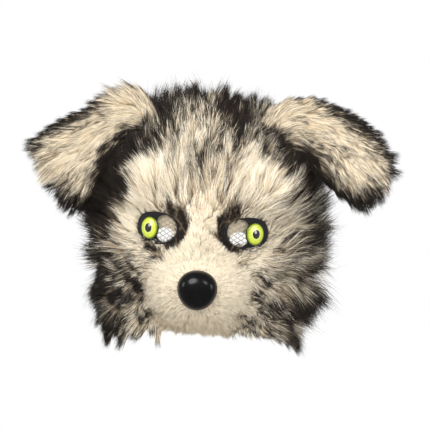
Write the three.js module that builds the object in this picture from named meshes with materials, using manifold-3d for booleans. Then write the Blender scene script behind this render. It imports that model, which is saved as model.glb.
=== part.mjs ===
// A plush wolf half mask. A stiff tan form hugs the forehead, cheeks and nose of the wearer. Long-pile fur
// cloth covers it, with a short-pile panel on the muzzle, a padded nose, two sewn ears, two plastic eyes on
// black felt, a see-through net window beside each eye, and a plain elastic strap round the back of the head.
//
// Millimetres, +Z up. The face looks along -Y, and +X is to the right as seen from the front. The shapes are
// worked out about the eye line (z = 0) and the plane of the wearer's ears (y = 0), and the whole group is
// then moved so that its origin is where the forehead meets the inside of the form.

import * as THREE from "three";
import { mergeVertices } from "three/addons/utils/BufferGeometryUtils.js";
import Module from "manifold-3d";

const wasm = await Module();
wasm.setup();

// Clearance kept between pieces that touch on the real mask
const GAP = 0.3;

// The form, measured over its outer face
const HEAD_HALF_WIDTH = 82;
const FACE_DEPTH = 92;
const CROWN_HEIGHT = 112;
const JAW_REACH = 175;
// 2 would make the front outline an ellipse, and more squares it
const HEAD_SQUARENESS = 2.6;
const WALL = 2.5;
const RIM_TOP_Y = 8;
const RIM_HEM_Y = -20;
const HEM_FRONT_Z = -76;
const HEM_BACK_Z = -86;
const BROW_CONTACT_Z = 34;

// The muzzle, the bridge of the nose and the two brows that swell out of the form
const MUZZLE_REACH = 42;
const MUZZLE_HALF_WIDTH = 40;
const MUZZLE_HALF_HEIGHT = 34;
const MUZZLE_DROP = 50;
const MUZZLE_SINK = 22;
const MUZZLE_SOFTNESS = 24;
const BRIDGE_HALF_WIDTH = 17;
const BRIDGE_HALF_HEIGHT = 38;
const BRIDGE_RISE = 11;
const BRIDGE_DROP = 8;
const BRIDGE_SINK = 20;
const BRIDGE_SOFTNESS = 18;
const BROW_HALF_WIDTH = 27;
const BROW_HALF_HEIGHT = 15;
const BROW_SPACING = 37;
const BROW_LIFT = 33;
const BROW_RISE = 8;
const BROW_SINK = 14;
const BROW_SOFTNESS = 14;

// Fur cloth: its woven backing, and the seam that joins the muzzle panel to the rest
const BACKING = 2;
const MUZZLE_SEAM = 6;
const CLOTH_TOP = GAP + BACKING;

// Eyes: the opening in the fur, the smaller window in the form, the net, the felt patch and the plastic eye
const EYE_SPACING = 39.5;
const EYE_HEIGHT = 6.5;
const EYE_TURN = 32;
const EYE_HALF_WIDTH = 24;
const EYE_HALF_HEIGHT = 15;
const WINDOW_HALF_WIDTH = 10;
const WINDOW_HALF_HEIGHT = 6.5;
const WINDOW_INSET = 6.5;
const WINDOW_DROP = 5.5;
const NET_THICKNESS = 1.2;
const NET_PITCH = 7.2;
const NET_STRAND = 1.8;
const FELT_THICKNESS = 1.2;
const FELT_RIM = 2.6;
const EYE_MARGIN = 4;
const PLASTIC_EYE_RADIUS = 10;
const PLASTIC_EYE_DOME = 2;
const PLASTIC_EYE_EDGE = 2;
const PLASTIC_EYE_OFFSET = 3.8;
const PLASTIC_EYE_TURN = 8;
const PUPIL_RADIUS = 4;
const PUPIL_DEPTH = 1.5;
const STEM_RADIUS = 2;

// Nose
const NOSE_RADIUS = 17.2;
const NOSE_DOME = 11;
const NOSE_EDGE = 2.2;
const NOSE_LIFT = 7;
const NOSE_POINT = 0.02;

// Strap
const STRAP_WIDTH = 25;
const STRAP_THICKNESS = 1.5;
const STRAP_HEIGHT = 22;
const STRAP_BACK = 96;
const STRAP_LAP = 26;

// Ears: the pads, without their pile. Each hangs from the crown between an upper and a lower edge, two curves
// whose control points are shares of its reach, out to its side and up from its root. forward is how far it
// comes ahead of its root at the end.
const EAR_THICKNESS = 8;
const EAR_CUP = 6;
const EAR_ROOT_BACK = 24;
const LEFT_EAR_SPACING = 50;
const LEFT_EAR_REACH = 106;
const LEFT_EAR_FORWARD = 22;
const RIGHT_EAR_SPACING = 48;
const RIGHT_EAR_REACH = 113;
const RIGHT_EAR_FORWARD = 18;
const EARS = [
  {
    name: "left_ear",
    side: -1,
    spacing: LEFT_EAR_SPACING,
    reach: LEFT_EAR_REACH,
    forward: LEFT_EAR_FORWARD,
    upper: [
      { out: -0.1, up: -0.04 },
      { out: 0.1, up: 0.6 },
      { out: 0.55, up: 0.05 },
      { out: 1, up: -0.08 },
    ],
    lower: [
      { out: 0.07, up: -0.16 },
      { out: 0.2, up: 0 },
      { out: 0.38, up: -0.42 },
      { out: 0.6, up: -0.71 },
    ],
  },
  {
    name: "right_ear",
    side: 1,
    spacing: RIGHT_EAR_SPACING,
    reach: RIGHT_EAR_REACH,
    forward: RIGHT_EAR_FORWARD,
    upper: [
      { out: -0.1, up: -0.04 },
      { out: 0.06, up: 0.48 },
      { out: 0.72, up: 0.34 },
      { out: 1.03, up: -0.13 },
    ],
    lower: [
      { out: 0.07, up: -0.16 },
      { out: 0.2, up: 0.02 },
      { out: 0.54, up: -0.38 },
      { out: 0.86, up: -0.5 },
    ],
  },
];
// Sections of an ear from root to tip, as shares of its length, of the width between its edges and of its
// thickness
const EAR_SECTIONS = [
  { along: 0, width: 1, thick: 1 },
  { along: 0.15, width: 1, thick: 1 },
  { along: 0.32, width: 1, thick: 1 },
  { along: 0.5, width: 1, thick: 1 },
  { along: 0.68, width: 1, thick: 0.95 },
  { along: 0.84, width: 0.97, thick: 0.85 },
  { along: 0.95, width: 0.8, thick: 0.65 },
  { along: 1, width: 0.5, thick: 0.35 },
];

// Pile, as locks, with lengths and widths in millimetres and lift in degrees. They lengthen from the muzzle's
// seam to the rim, and the crown's and the right cheek's are longer. HEAD_LOCKS would cover the whole closed
// head, and those between the two shares of the way from seam to rim are kept.
const HEAD_LOCKS = 98;
const HEAD_LOCK_SHARES = [0.08, 0.82];
const SEAM_LOCK = { length: 13, width: 22, lift: 18 };
const RIM_LOCK = { length: 31, width: 29, lift: 47 };
const RIM_LOCK_SPACING = 29;
const RIM_LOCK_SHARE = 0.94;
const RIGHT_CHEEK = { longer: 0.7, z: -24, halfHeight: 62 };
const CROWN = { longer: 0.25, fromHeight: 0.5 };
const MUZZLE_LOCKS = { share: 0.74, count: 11, length: 9, width: 18, lift: 18, backward: 0.4 };
const EAR_EDGE_LOCKS = { count: 4, first: 0.3, last: 0.96, inset: 0.86, length: 15, width: 31, depth: 6 };
const EAR_TIP_LOCKS = { along: 0.97, places: [-0.6, 0, 0.6], spread: 0.7 };
const EAR_PILE_SPACE = 25;
const EAR_FACE_LOCKS = {
  rows: [{ along: 0.42, places: [-0.35, 0.35] }, { along: 0.74, places: [-0.6, 0, 0.6] }],
  spread: 0.7, length: 21, width: 26, lift: 16,
};
const LOCK_SWAY = 16;
const LOCK_VARIATION = 0.14;
// A lock's middle and tip, as shares of its length up from the cloth and along it, and its width there
const LOCK_MIDDLE = { up: 0.62, along: 0.42, width: 0.78 };
const LOCK_TIP = { up: 0.92, along: 1 };
// Deep enough to meet the cloth, whose facets lie below the smooth surface
const ROOT_DEPTH = 2.2 * BACKING;
const LOCK_DROOP = 0.28;

// How finely the form is faceted. RING_BIAS crowds its rings towards the muzzle.
const COLUMNS = 24;
const RINGS = 15;
const RING_BIAS = 1.3;
const RIM_STEPS = 180;
const SEAM_SIDES = 24;
const WINDOW_SIDES = 16;
const EYE_SIDES = 15;
const PUPIL_SIDES = 12;
const NOSE_SIDES = 20;
const EAR_SIDES = 12;
const STRAP_DIVISIONS = 6;
const RAY_CENTRE = new THREE.Vector3(0, 0, -30);
const FAR = 4 * CROWN_HEIGHT;
// A cut through the front of the form starts behind its wall and ends ahead of it
const CUT_BEHIND = -FACE_DEPTH / 3;
const CUT_AHEAD = FACE_DEPTH / 2;
const MUZZLE_CUT_START = FACE_DEPTH / 3;

const FRONT = new THREE.Vector3(0, -1, 0);
const UP = new THREE.Vector3(0, 0, 1);
const RIGHT = new THREE.Vector3(1, 0, 0);

// Plain tools

function vec(x, y, z) {
  return new THREE.Vector3(x, y, z);
}

function along(point, ...steps) {
  const moved = point.clone();
  for (const [direction, distance] of steps) moved.addScaledVector(direction, distance);
  return moved;
}

// A repeatable number from -1 to 1 for the n-th lock
function sway(n) {
  const wave = Math.sin(n * 12.9898 + 4.1414) * 43758.5453;
  return 2 * (wave - Math.floor(wave)) - 1;
}

// Where value(t) passes from below zero to above it
function crossing(value, low, high) {
  for (let i = 0; i < 40; i++) {
    const middle = (low + high) / 2;
    if (value(middle) < 0) low = middle;
    else high = middle;
  }
  return (low + high) / 2;
}

function solidOf(geometry) {
  const bare = geometry.clone();
  bare.deleteAttribute("normal");
  bare.deleteAttribute("uv");
  const merged = mergeVertices(bare, 1e-3);
  const corners = Uint32Array.from(merged.index.array);
  const mesh = () =>
    new wasm.Mesh({ numProp: 3, vertProperties: merged.attributes.position.array, triVerts: corners });
  const made = new wasm.Manifold(mesh());
  if (made.volume() > 0) return made;
  for (let i = 0; i < corners.length; i += 3)
    [corners[i + 1], corners[i + 2]] = [corners[i + 2], corners[i + 1]];
  return new wasm.Manifold(mesh());
}

function geometryOf(solid) {
  const { numVert, numProp, vertProperties, triVerts } = solid.getMesh();
  const positions = new Float32Array(numVert * 3);
  for (let i = 0; i < numVert; i++)
    positions.set(vertProperties.subarray(i * numProp, i * numProp + 3), i * 3);
  const geometry = new THREE.BufferGeometry();
  geometry.setAttribute("position", new THREE.BufferAttribute(positions, 3));
  geometry.setIndex(new THREE.BufferAttribute(triVerts, 1));
  return geometry;
}

// The largest body of a solid: cutting pile clear of its neighbour can leave crumbs of a lock's tip
function mainBody(solid) {
  return solid.decompose().reduce((best, body) => (body.volume() > best.volume() ? body : best));
}

function joined(solids) {
  return wasm.Manifold.union(solids);
}

// A closed skin through rings of points, each ring with as many points. A ring may be one point repeated.
function loft(rings) {
  const count = rings[0].length;
  const positions = rings.flat().flatMap((p) => [p.x, p.y, p.z]);
  const index = [];
  // Like the rungs of a ladder, so that a crescent is closed as well as a circle
  const cap = (first, turned) => {
    for (let i = 0; i < count / 2; i++)
      for (const [p, q, r] of [[i, i + 1, count - i - 1], [i, count - i - 1, (count - i) % count]])
        if (p !== q && q !== r && r !== p)
          index.push(first + p, first + (turned ? r : q), first + (turned ? q : r));
  };
  for (let r = 0; r + 1 < rings.length; r++)
    for (let i = 0; i < count; i++) {
      const a = r * count + i;
      const b = r * count + ((i + 1) % count);
      index.push(a, b, b + count, a, b + count, a + count);
    }
  cap(0, true);
  cap((rings.length - 1) * count, false);
  const geometry = new THREE.BufferGeometry();
  geometry.setAttribute("position", new THREE.Float32BufferAttribute(positions, 3));
  geometry.setIndex(index);
  return geometry;
}

// A solid of revolution about an axis, from [radius, height] pairs that start and end on the axis
function turned(profile, sides, base, axis) {
  const points = profile.map(([radius, height]) => new THREE.Vector2(radius, height));
  const geometry = new THREE.LatheGeometry(points, sides);
  geometry.applyQuaternion(new THREE.Quaternion().setFromUnitVectors(vec(0, 1, 0), axis));
  geometry.translate(base.x, base.y, base.z);
  return solidOf(geometry);
}

// A prism with an elliptical outline, from one height to another along the third direction of a frame
function ellipsePrism(frame, halfWidth, halfHeight, low, high, sides = 16) {
  const ring = (height) =>
    Array.from({ length: sides }, (_, i) => {
      const turn = (2 * Math.PI * i) / sides;
      return frame.at(halfWidth * Math.cos(turn), halfHeight * Math.sin(turn), height);
    });
  return solidOf(loft([ring(low), ring(high)]));
}

// A flat frame: at(across, up, out) gives a point
function frameAt(origin, across, up, out) {
  return { origin, across, up, out, at: (a, b, c) => along(origin, [across, a], [up, b], [out, c]) };
}

// The face as one closed surface: below zero inside it

// squareness is that of its front outline: 2 gives an ellipsoid
function blobDistance(p, centre, radii, squareness = 2) {
  const q = p.clone().sub(centre).divide(radii);
  const [across, up] = [Math.abs(q.x), Math.abs(q.z)];
  const outline = (across ** squareness + up ** squareness) ** (1 / squareness);
  const near = Math.hypot(outline, q.y);
  if (near < 1e-6) return -Math.min(radii.x, radii.y, radii.z);
  const share = outline > 0 ? outline ** (2 - squareness) : 0;
  const slope = vec(
    (share * across ** (squareness - 1)) / radii.x,
    q.y / radii.y,
    (share * up ** (squareness - 1)) / radii.z,
  );
  return (near * (near - 1)) / slope.length();
}

function softUnion(a, b, softness) {
  const mixed = Math.max(softness - Math.abs(a - b), 0) / softness;
  return Math.min(a, b) - (mixed * mixed * softness) / 4;
}

// A swelling is an ellipsoid whose back is sunk into the face and whose front stands `rise` ahead of it
function swelling(x, z, faceY, halfWidth, halfHeight, rise, sink) {
  return { centre: vec(x, faceY + sink, z), radii: vec(halfWidth, rise + sink, halfHeight) };
}

const ORIGIN = vec(0, 0, 0);
const ABOVE_EYES = vec(HEAD_HALF_WIDTH, FACE_DEPTH, CROWN_HEIGHT);
const BELOW_EYES = vec(HEAD_HALF_WIDTH, FACE_DEPTH, JAW_REACH);

// The face before anything swells out of it
function bareFaceY(x, z) {
  const radii = z > 0 ? ABOVE_EYES : BELOW_EYES;
  return -crossing((y) => blobDistance(vec(x, -y, z), ORIGIN, radii, HEAD_SQUARENESS), 0, FAR);
}

const MUZZLE = swelling(
  0, -MUZZLE_DROP, -FACE_DEPTH, MUZZLE_HALF_WIDTH, MUZZLE_HALF_HEIGHT, MUZZLE_REACH, MUZZLE_SINK,
);
const BRIDGE = swelling(
  0, -BRIDGE_DROP, -FACE_DEPTH, BRIDGE_HALF_WIDTH, BRIDGE_HALF_HEIGHT, BRIDGE_RISE, BRIDGE_SINK,
);
const BROWS = [-1, 1].map((side) =>
  swelling(
    side * BROW_SPACING, BROW_LIFT, bareFaceY(BROW_SPACING, BROW_LIFT),
    BROW_HALF_WIDTH, BROW_HALF_HEIGHT, BROW_RISE, BROW_SINK,
  ),
);

function faceDistance(p) {
  let d = blobDistance(p, ORIGIN, p.z > 0 ? ABOVE_EYES : BELOW_EYES, HEAD_SQUARENESS);
  d = softUnion(d, blobDistance(p, MUZZLE.centre, MUZZLE.radii), MUZZLE_SOFTNESS);
  d = softUnion(d, blobDistance(p, BRIDGE.centre, BRIDGE.radii), BRIDGE_SOFTNESS);
  for (const brow of BROWS) d = softUnion(d, blobDistance(p, brow.centre, brow.radii), BROW_SOFTNESS);
  return d;
}

function outwardAt(p) {
  const step = 0.5;
  const slope = (axis) => faceDistance(along(p, [axis, step])) - faceDistance(along(p, [axis, -step]));
  return vec(slope(RIGHT), slope(vec(0, 1, 0)), slope(UP)).normalize();
}

// polar is the angle from straight ahead, and around the angle about that line, from +X towards +Z
function surfaceAt(polar, around) {
  const direction = along(
    ORIGIN,
    [FRONT, Math.cos(polar)],
    [RIGHT, Math.sin(polar) * Math.cos(around)],
    [UP, Math.sin(polar) * Math.sin(around)],
  );
  const reach = crossing((t) => faceDistance(along(RAY_CENTRE, [direction, t])), WALL, FAR);
  return along(RAY_CENTRE, [direction, reach]);
}

// The corners of the form's facets, on a sphere's grid whose poles lie straight ahead and behind
const FACETS = new THREE.SphereGeometry(1, COLUMNS, RINGS);
const FACET_CORNERS = Array.from({ length: FACETS.attributes.position.count }, (_, i) => {
  const v = new THREE.Vector3().fromBufferAttribute(FACETS.attributes.position, i);
  const polar = Math.PI * (Math.acos(THREE.MathUtils.clamp(v.y, -1, 1)) / Math.PI) ** RING_BIAS;
  const point = surfaceAt(polar, Math.atan2(v.z, v.x));
  return { point, outward: outwardAt(point) };
});

// The whole closed head, its surface moved outwards by offset
function headBody(offset) {
  const body = FACETS.clone();
  FACET_CORNERS.forEach(({ point, outward }, i) => {
    const moved = along(point, [outward, offset]);
    body.attributes.position.setXYZ(i, moved.x, moved.y, moved.z);
  });
  return solidOf(body);
}

// A sheet that lies on the form, low above its outer face
function layer(low, thickness) {
  return headBody(low + thickness).subtract(headBody(low));
}

// The edge of the mask: a leaning rim plane at the back and a sloping hem plane below

function rimY(z) {
  return THREE.MathUtils.mapLinear(z, HEM_BACK_Z, CROWN_HEIGHT, RIM_HEM_Y, RIM_TOP_Y);
}

function hemZ(y) {
  return THREE.MathUtils.mapLinear(y, -FACE_DEPTH - MUZZLE_REACH, RIM_HEM_Y, HEM_FRONT_Z, HEM_BACK_Z);
}

function pastEdge(p) {
  return Math.max(p.y - rimY(p.z), hemZ(p.y) - p.z);
}

function pastMuzzleSeam(p) {
  const across = p.x / (MUZZLE_HALF_WIDTH + MUZZLE_SEAM);
  const up = (p.z + MUZZLE_DROP) / (MUZZLE_HALF_HEIGHT + MUZZLE_SEAM);
  return Math.hypot(across, up) - 1;
}

// All that lies in front of the rim and above the hem
function keptSpace() {
  const outline = new THREE.Shape([
    new THREE.Vector2(-FAR, hemZ(-FAR)),
    new THREE.Vector2(rimY(hemZ(RIM_HEM_Y)), hemZ(RIM_HEM_Y)),
    new THREE.Vector2(rimY(FAR), FAR),
    new THREE.Vector2(-FAR, FAR),
  ]);
  const prism = new THREE.ExtrudeGeometry(outline, { depth: 2 * FAR, bevelEnabled: false });
  prism.translate(0, 0, -FAR);
  // The outline's x is y and its y is z, and it is extruded along x
  prism.applyMatrix4(new THREE.Matrix4().makeBasis(vec(0, 1, 0), vec(0, 0, 1), vec(1, 0, 0)));
  return solidOf(prism);
}

const FRONT_VIEW = frameAt(vec(0, 0, -MUZZLE_DROP), RIGHT, UP, FRONT);

function muzzlePrism(grow) {
  return ellipsePrism(
    FRONT_VIEW,
    MUZZLE_HALF_WIDTH + MUZZLE_SEAM + grow,
    MUZZLE_HALF_HEIGHT + MUZZLE_SEAM + grow,
    MUZZLE_CUT_START,
    FAR,
    SEAM_SIDES,
  );
}

// The eyes

function eyeFrame(side) {
  const turn = THREE.MathUtils.degToRad(EYE_TURN);
  const ahead = (y) => faceDistance(vec(side * EYE_SPACING, -y, EYE_HEIGHT));
  const centre = vec(side * EYE_SPACING, -crossing(ahead, 0, FAR), EYE_HEIGHT);
  // "across" points away from the nose on either side
  const across = vec(side * Math.cos(turn), Math.sin(turn), 0);
  return frameAt(centre, across, UP, vec(side * Math.sin(turn), -Math.cos(turn), 0));
}

function eyeOutline(frame, grow) {
  return ellipsePrism(frame, EYE_HALF_WIDTH + grow, EYE_HALF_HEIGHT + grow, CUT_BEHIND, CUT_AHEAD);
}

function windowOutline(frame) {
  const middle = frame.at(-WINDOW_INSET, -WINDOW_DROP, 0);
  return ellipsePrism(
    frameAt(middle, frame.across, frame.up, frame.out),
    WINDOW_HALF_WIDTH, WINDOW_HALF_HEIGHT, CUT_BEHIND, CUT_AHEAD, WINDOW_SIDES,
  );
}

const NET_LOW = GAP;
const FELT_LOW = NET_LOW + NET_THICKNESS + GAP;
const EYE_LOW = FELT_LOW + FELT_THICKNESS + GAP;

// Where the plastic eye sits: beside the see-through part, turned a little further outwards
function plasticEyeSeat(frame, side) {
  const turn = THREE.MathUtils.degToRad(EYE_TURN + PLASTIC_EYE_TURN);
  const facing = vec(side * Math.sin(turn), -Math.cos(turn), 0);
  const sideways = vec(side * Math.cos(turn), Math.sin(turn), 0);
  // The disc is raised until none of its underside is in the felt
  const clearance = (raise) => {
    let least = Infinity;
    for (const share of [0, 0.5, 1])
      for (let i = 0; i < EYE_SIDES; i++) {
        const angle = (2 * Math.PI * i) / EYE_SIDES;
        const radius = share * PLASTIC_EYE_RADIUS;
        const foot = frame.at(PLASTIC_EYE_OFFSET, 0, raise);
        const p = along(foot, [sideways, radius * Math.cos(angle)], [UP, radius * Math.sin(angle)]);
        least = Math.min(least, faceDistance(p) - EYE_LOW);
      }
    return least;
  };
  const raise = crossing(clearance, CUT_BEHIND, CUT_AHEAD);
  return { base: frame.at(PLASTIC_EYE_OFFSET, 0, raise), facing };
}

function eyeTop(radius) {
  return PLASTIC_EYE_EDGE + PLASTIC_EYE_DOME * Math.sqrt(Math.max(1 - (radius / PLASTIC_EYE_RADIUS) ** 2, 0));
}

// The stem reaches through the felt and the net into the form
function stemLength(seat) {
  const aboveMiddle = (depth) => -WALL / 2 - faceDistance(along(seat.base, [seat.facing, -depth]));
  return crossing(aboveMiddle, 0, CUT_AHEAD);
}

function plasticEye(seat) {
  const stem = stemLength(seat);
  const recess = PUPIL_RADIUS + GAP;
  const steps = [1, 0.96, 0.84, 0.62].map((share) => share * PLASTIC_EYE_RADIUS);
  return turned(
    [
      [0, -stem],
      [STEM_RADIUS, -stem],
      [STEM_RADIUS, 0],
      [PLASTIC_EYE_RADIUS, 0],
      ...steps.map((radius) => [radius, eyeTop(radius)]),
      [recess, eyeTop(recess)],
      [recess, eyeTop(0) - PUPIL_DEPTH],
      [0, eyeTop(0) - PUPIL_DEPTH],
    ],
    EYE_SIDES,
    seat.base,
    seat.facing,
  );
}

function pupil(seat) {
  const floor = eyeTop(0) - PUPIL_DEPTH + GAP;
  const steps = [1, 0.6].map((share) => share * PUPIL_RADIUS);
  return turned(
    [[0, floor], [PUPIL_RADIUS, floor], ...steps.map((radius) => [radius, eyeTop(radius)]), [0, eyeTop(0)]],
    PUPIL_SIDES,
    seat.base,
    seat.facing,
  );
}

// The room that a plastic eye and its stem need in what lies behind them
function eyeSpace(seat) {
  const depth = stemLength(seat) + WALL + GAP;
  const [stem, eye] = [STEM_RADIUS + GAP, PLASTIC_EYE_RADIUS + GAP];
  const profile = [[0, -depth], [stem, -depth], [stem, -GAP], [eye, -GAP], [eye, eyeTop(0)], [0, eyeTop(0)]];
  return turned(profile, EYE_SIDES, seat.base, seat.facing);
}

// The felt covers the part of the opening away from the nose, and edges the rest
function sightFrame(frame) {
  const middle = frame.at(FELT_RIM - EYE_HALF_WIDTH + sightHalfWidth(), 0, 0);
  return frameAt(middle, frame.across, frame.up, frame.out);
}

function sightHalfWidth() {
  return EYE_HALF_WIDTH / 2;
}

function feltPatch(frame, seat) {
  const sheet = layer(FELT_LOW, FELT_THICKNESS).intersect(eyeOutline(frame, -GAP));
  const hole = ellipsePrism(
    sightFrame(frame), sightHalfWidth(), EYE_HALF_HEIGHT - FELT_RIM, CUT_BEHIND, CUT_AHEAD,
  );
  return mainBody(sheet.subtract(hole).subtract(eyeSpace(seat)));
}

// Diamond holes through the net, wherever a whole one fits in the part that the felt leaves open
function netWindow(frame, seat) {
  const sheet = layer(NET_LOW, NET_THICKNESS).intersect(eyeOutline(frame, -GAP));
  const sight = sightFrame(frame);
  const reach = (NET_PITCH - NET_STRAND) / 2;
  const holes = [];
  const rows = Math.ceil(EYE_HALF_HEIGHT / (NET_PITCH / 2));
  const columns = Math.ceil(sightHalfWidth() / NET_PITCH) + 1;
  for (let row = -rows; row <= rows; row++)
    for (let column = -columns; column <= columns; column++) {
      const across = (column + (row % 2 ? 0.5 : 0)) * NET_PITCH;
      const up = (row * NET_PITCH) / 2;
      const share = Math.hypot(
        (Math.abs(across) + reach) / (sightHalfWidth() + reach),
        (Math.abs(up) + reach) / (EYE_HALF_HEIGHT - FELT_RIM + reach),
      );
      if (share > 1) continue;
      const cell = frameAt(sight.at(across, up, 0), frame.across, frame.up, frame.out);
      holes.push(ellipsePrism(cell, reach, reach, CUT_BEHIND, CUT_AHEAD, 4));
    }
  return mainBody(sheet.subtract(joined(holes)).subtract(eyeSpace(seat)));
}

// The nose: a padded dome whose outline comes to a soft point below, shaped to the muzzle behind it

function nose(muzzleSpace) {
  const reach = (z) => crossing((y) => faceDistance(vec(0, -y, z)), 0, FAR);
  const z = -MUZZLE_DROP + NOSE_LIFT;
  const seat = -reach(z) - BACKING - GAP;
  const frame = frameAt(vec(0, seat, z), RIGHT, UP, FRONT);
  const rows = [
    [0.9, -BACKING - NOSE_EDGE],
    [1, NOSE_EDGE * 0.5],
    [0.98, NOSE_EDGE],
    [0.86, NOSE_EDGE + NOSE_DOME * 0.4],
    [0.62, NOSE_EDGE + NOSE_DOME * 0.76],
    [0.32, NOSE_EDGE + NOSE_DOME * 0.95],
    [0.02, NOSE_EDGE + NOSE_DOME],
  ];
  const ring = ([share, height]) =>
    Array.from({ length: NOSE_SIDES }, (_, i) => {
      const turn = (2 * Math.PI * i) / NOSE_SIDES;
      const radius = NOSE_RADIUS * share * (1 + NOSE_POINT * Math.sin(3 * turn));
      return frame.at(radius * Math.cos(turn), radius * Math.sin(turn), height);
    });
  return mainBody(solidOf(loft(rows.map(ring))).subtract(muzzleSpace));
}

// Pile

// One lock: a four-sided tuft that starts `deep` below its root and bends over towards its tip
function lock(root, normal, comb, length, width, lift, deep) {
  const rise = THREE.MathUtils.degToRad(lift);
  const flat = comb.clone().addScaledVector(normal, -comb.dot(normal)).normalize();
  const sideways = flat.clone().cross(normal).normalize();
  const start = along(root, [normal, -deep]);
  const [up, on] = [Math.sin(rise) * length, Math.cos(rise) * length];
  const middle = along(root, [normal, up * LOCK_MIDDLE.up], [flat, on * LOCK_MIDDLE.along]);
  const tip = along(root, [normal, up * LOCK_TIP.up], [flat, on * LOCK_TIP.along]);
  const [halfWidth, halfDepth] = [width / 2, width / 3];
  const ring = (centre, size) => squareRing(centre, sideways, halfWidth * size, flat, halfDepth * size);
  return solidOf(loft([ring(start, 1), ring(middle, LOCK_MIDDLE.width), ring(tip, 0)]));
}

function squareRing(centre, sideways, halfWidth, flat, halfDepth) {
  const corners = [[sideways, halfWidth], [flat, halfDepth], [sideways, -halfWidth], [flat, -halfDepth]];
  return corners.map((step) => along(centre, step));
}

// A lock on the fur cloth. share is 0 at the muzzle's seam and 1 at the rim.
function headLock(polar, around, share, n) {
  const onForm = surfaceAt(polar, around);
  const normal = outwardAt(onForm);
  const further = surfaceAt(polar + 0.02, around).sub(onForm).normalize();
  const sideways = further.clone().cross(normal);
  const turn = THREE.MathUtils.degToRad(LOCK_SWAY) * sway(n);
  const comb = along(further, [sideways, Math.tan(turn)], [UP, onForm.z < 0 ? -LOCK_DROOP : 0]);
  const size = (name) => THREE.MathUtils.lerp(SEAM_LOCK[name], RIM_LOCK[name], share);
  const offCheek = Math.abs(onForm.z - RIGHT_CHEEK.z) / RIGHT_CHEEK.halfHeight;
  const onCheek = Math.max(onForm.x / HEAD_HALF_WIDTH, 0) * Math.max(1 - offCheek, 0);
  const fromHeight = CROWN.fromHeight * CROWN_HEIGHT;
  const onCrown = THREE.MathUtils.clamp((onForm.z - fromHeight) / (CROWN_HEIGHT - fromHeight), 0, 1);
  const fuller = 1 + RIGHT_CHEEK.longer * onCheek + CROWN.longer * onCrown;
  const length = size("length") * fuller * (1 + LOCK_VARIATION * sway(n + 0.5));
  const root = along(onForm, [normal, CLOTH_TOP]);
  return lock(root, normal, comb, length, size("width"), size("lift"), ROOT_DEPTH);
}

function seamAndRim(around) {
  return [
    crossing((polar) => pastMuzzleSeam(surfaceAt(polar, around)), 0, Math.PI / 2),
    crossing((polar) => pastEdge(surfaceAt(polar, around)), 0, Math.PI * 0.75),
  ];
}

// Locks spread evenly by the golden angle, and a row along the rim
function headLocks() {
  const tufts = [];
  const goldenAngle = Math.PI * (3 - Math.sqrt(5));
  for (let i = 0; i < HEAD_LOCKS; i++) {
    const polar = Math.acos(1 - (2 * (i + 0.5)) / HEAD_LOCKS);
    const [seam, rim] = seamAndRim(i * goldenAngle);
    const share = (polar - seam) / (rim - seam);
    if (rim < seam || share < HEAD_LOCK_SHARES[0] || share > HEAD_LOCK_SHARES[1]) continue;
    if (coversEye(surfaceAt(polar, i * goldenAngle))) continue;
    tufts.push(headLock(polar, i * goldenAngle, share, i));
  }
  // Where the seam runs out at the hem there is no cloth left for a lock
  const leastWay = RIM_LOCK.width / (2 * FACE_DEPTH);
  let walked = 0;
  let before = null;
  for (let i = 0; i < RIM_STEPS; i++) {
    const around = (2 * Math.PI * i) / RIM_STEPS - Math.PI / 2;
    const [seam, rim] = seamAndRim(around);
    if (rim - seam < leastWay) continue;
    const polar = THREE.MathUtils.lerp(seam, rim, RIM_LOCK_SHARE);
    const here = surfaceAt(polar, around);
    walked += before ? here.distanceTo(before) : RIM_LOCK_SPACING;
    before = here;
    if (walked < RIM_LOCK_SPACING) continue;
    walked -= RIM_LOCK_SPACING;
    tufts.push(headLock(polar, around, RIM_LOCK_SHARE, HEAD_LOCKS + i));
  }
  return tufts;
}

function coversEye(p) {
  return EYES.some(({ frame }) => {
    const q = p.clone().sub(frame.origin);
    const [halfWidth, halfHeight] = [EYE_HALF_WIDTH + EYE_MARGIN, EYE_HALF_HEIGHT + EYE_MARGIN];
    return Math.hypot(q.dot(frame.across) / halfWidth, q.dot(frame.up) / halfHeight) < 1;
  });
}

function muzzleLocks() {
  const tufts = [];
  const { share, count, length, width, lift, backward } = MUZZLE_LOCKS;
  for (let i = 0; i < count; i++) {
    const turn = (2 * Math.PI * i) / count;
    const across = (MUZZLE_HALF_WIDTH + MUZZLE_SEAM) * share * Math.cos(turn);
    const up = -MUZZLE_DROP + (MUZZLE_HALF_HEIGHT + MUZZLE_SEAM) * share * Math.sin(turn);
    const onForm = vec(across, -crossing((y) => faceDistance(vec(across, -y, up)), 0, FAR), up);
    if (pastEdge(onForm) > -width / 2) continue;
    const normal = outwardAt(onForm);
    const comb = vec(Math.cos(turn), backward, Math.sin(turn));
    tufts.push(lock(along(onForm, [normal, CLOTH_TOP]), normal, comb, length, width, lift, ROOT_DEPTH));
  }
  return tufts;
}

// The ears: each pad hangs between its two edges

function earRoot(ear) {
  const onCrown = (z) => faceDistance(vec(ear.side * ear.spacing, -EAR_ROOT_BACK, z));
  return vec(ear.side * ear.spacing, -EAR_ROOT_BACK, crossing(onCrown, 0, FAR));
}

function earEdge(ear, points) {
  const root = earRoot(ear);
  const place = ({ out, up }) => {
    const ahead = Math.max(out, 0) * ear.forward;
    return along(root, [RIGHT, ear.side * out * ear.reach], [FRONT, ahead], [UP, up * ear.reach]);
  };
  return new THREE.CubicBezierCurve3(...points.map(place));
}

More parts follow.
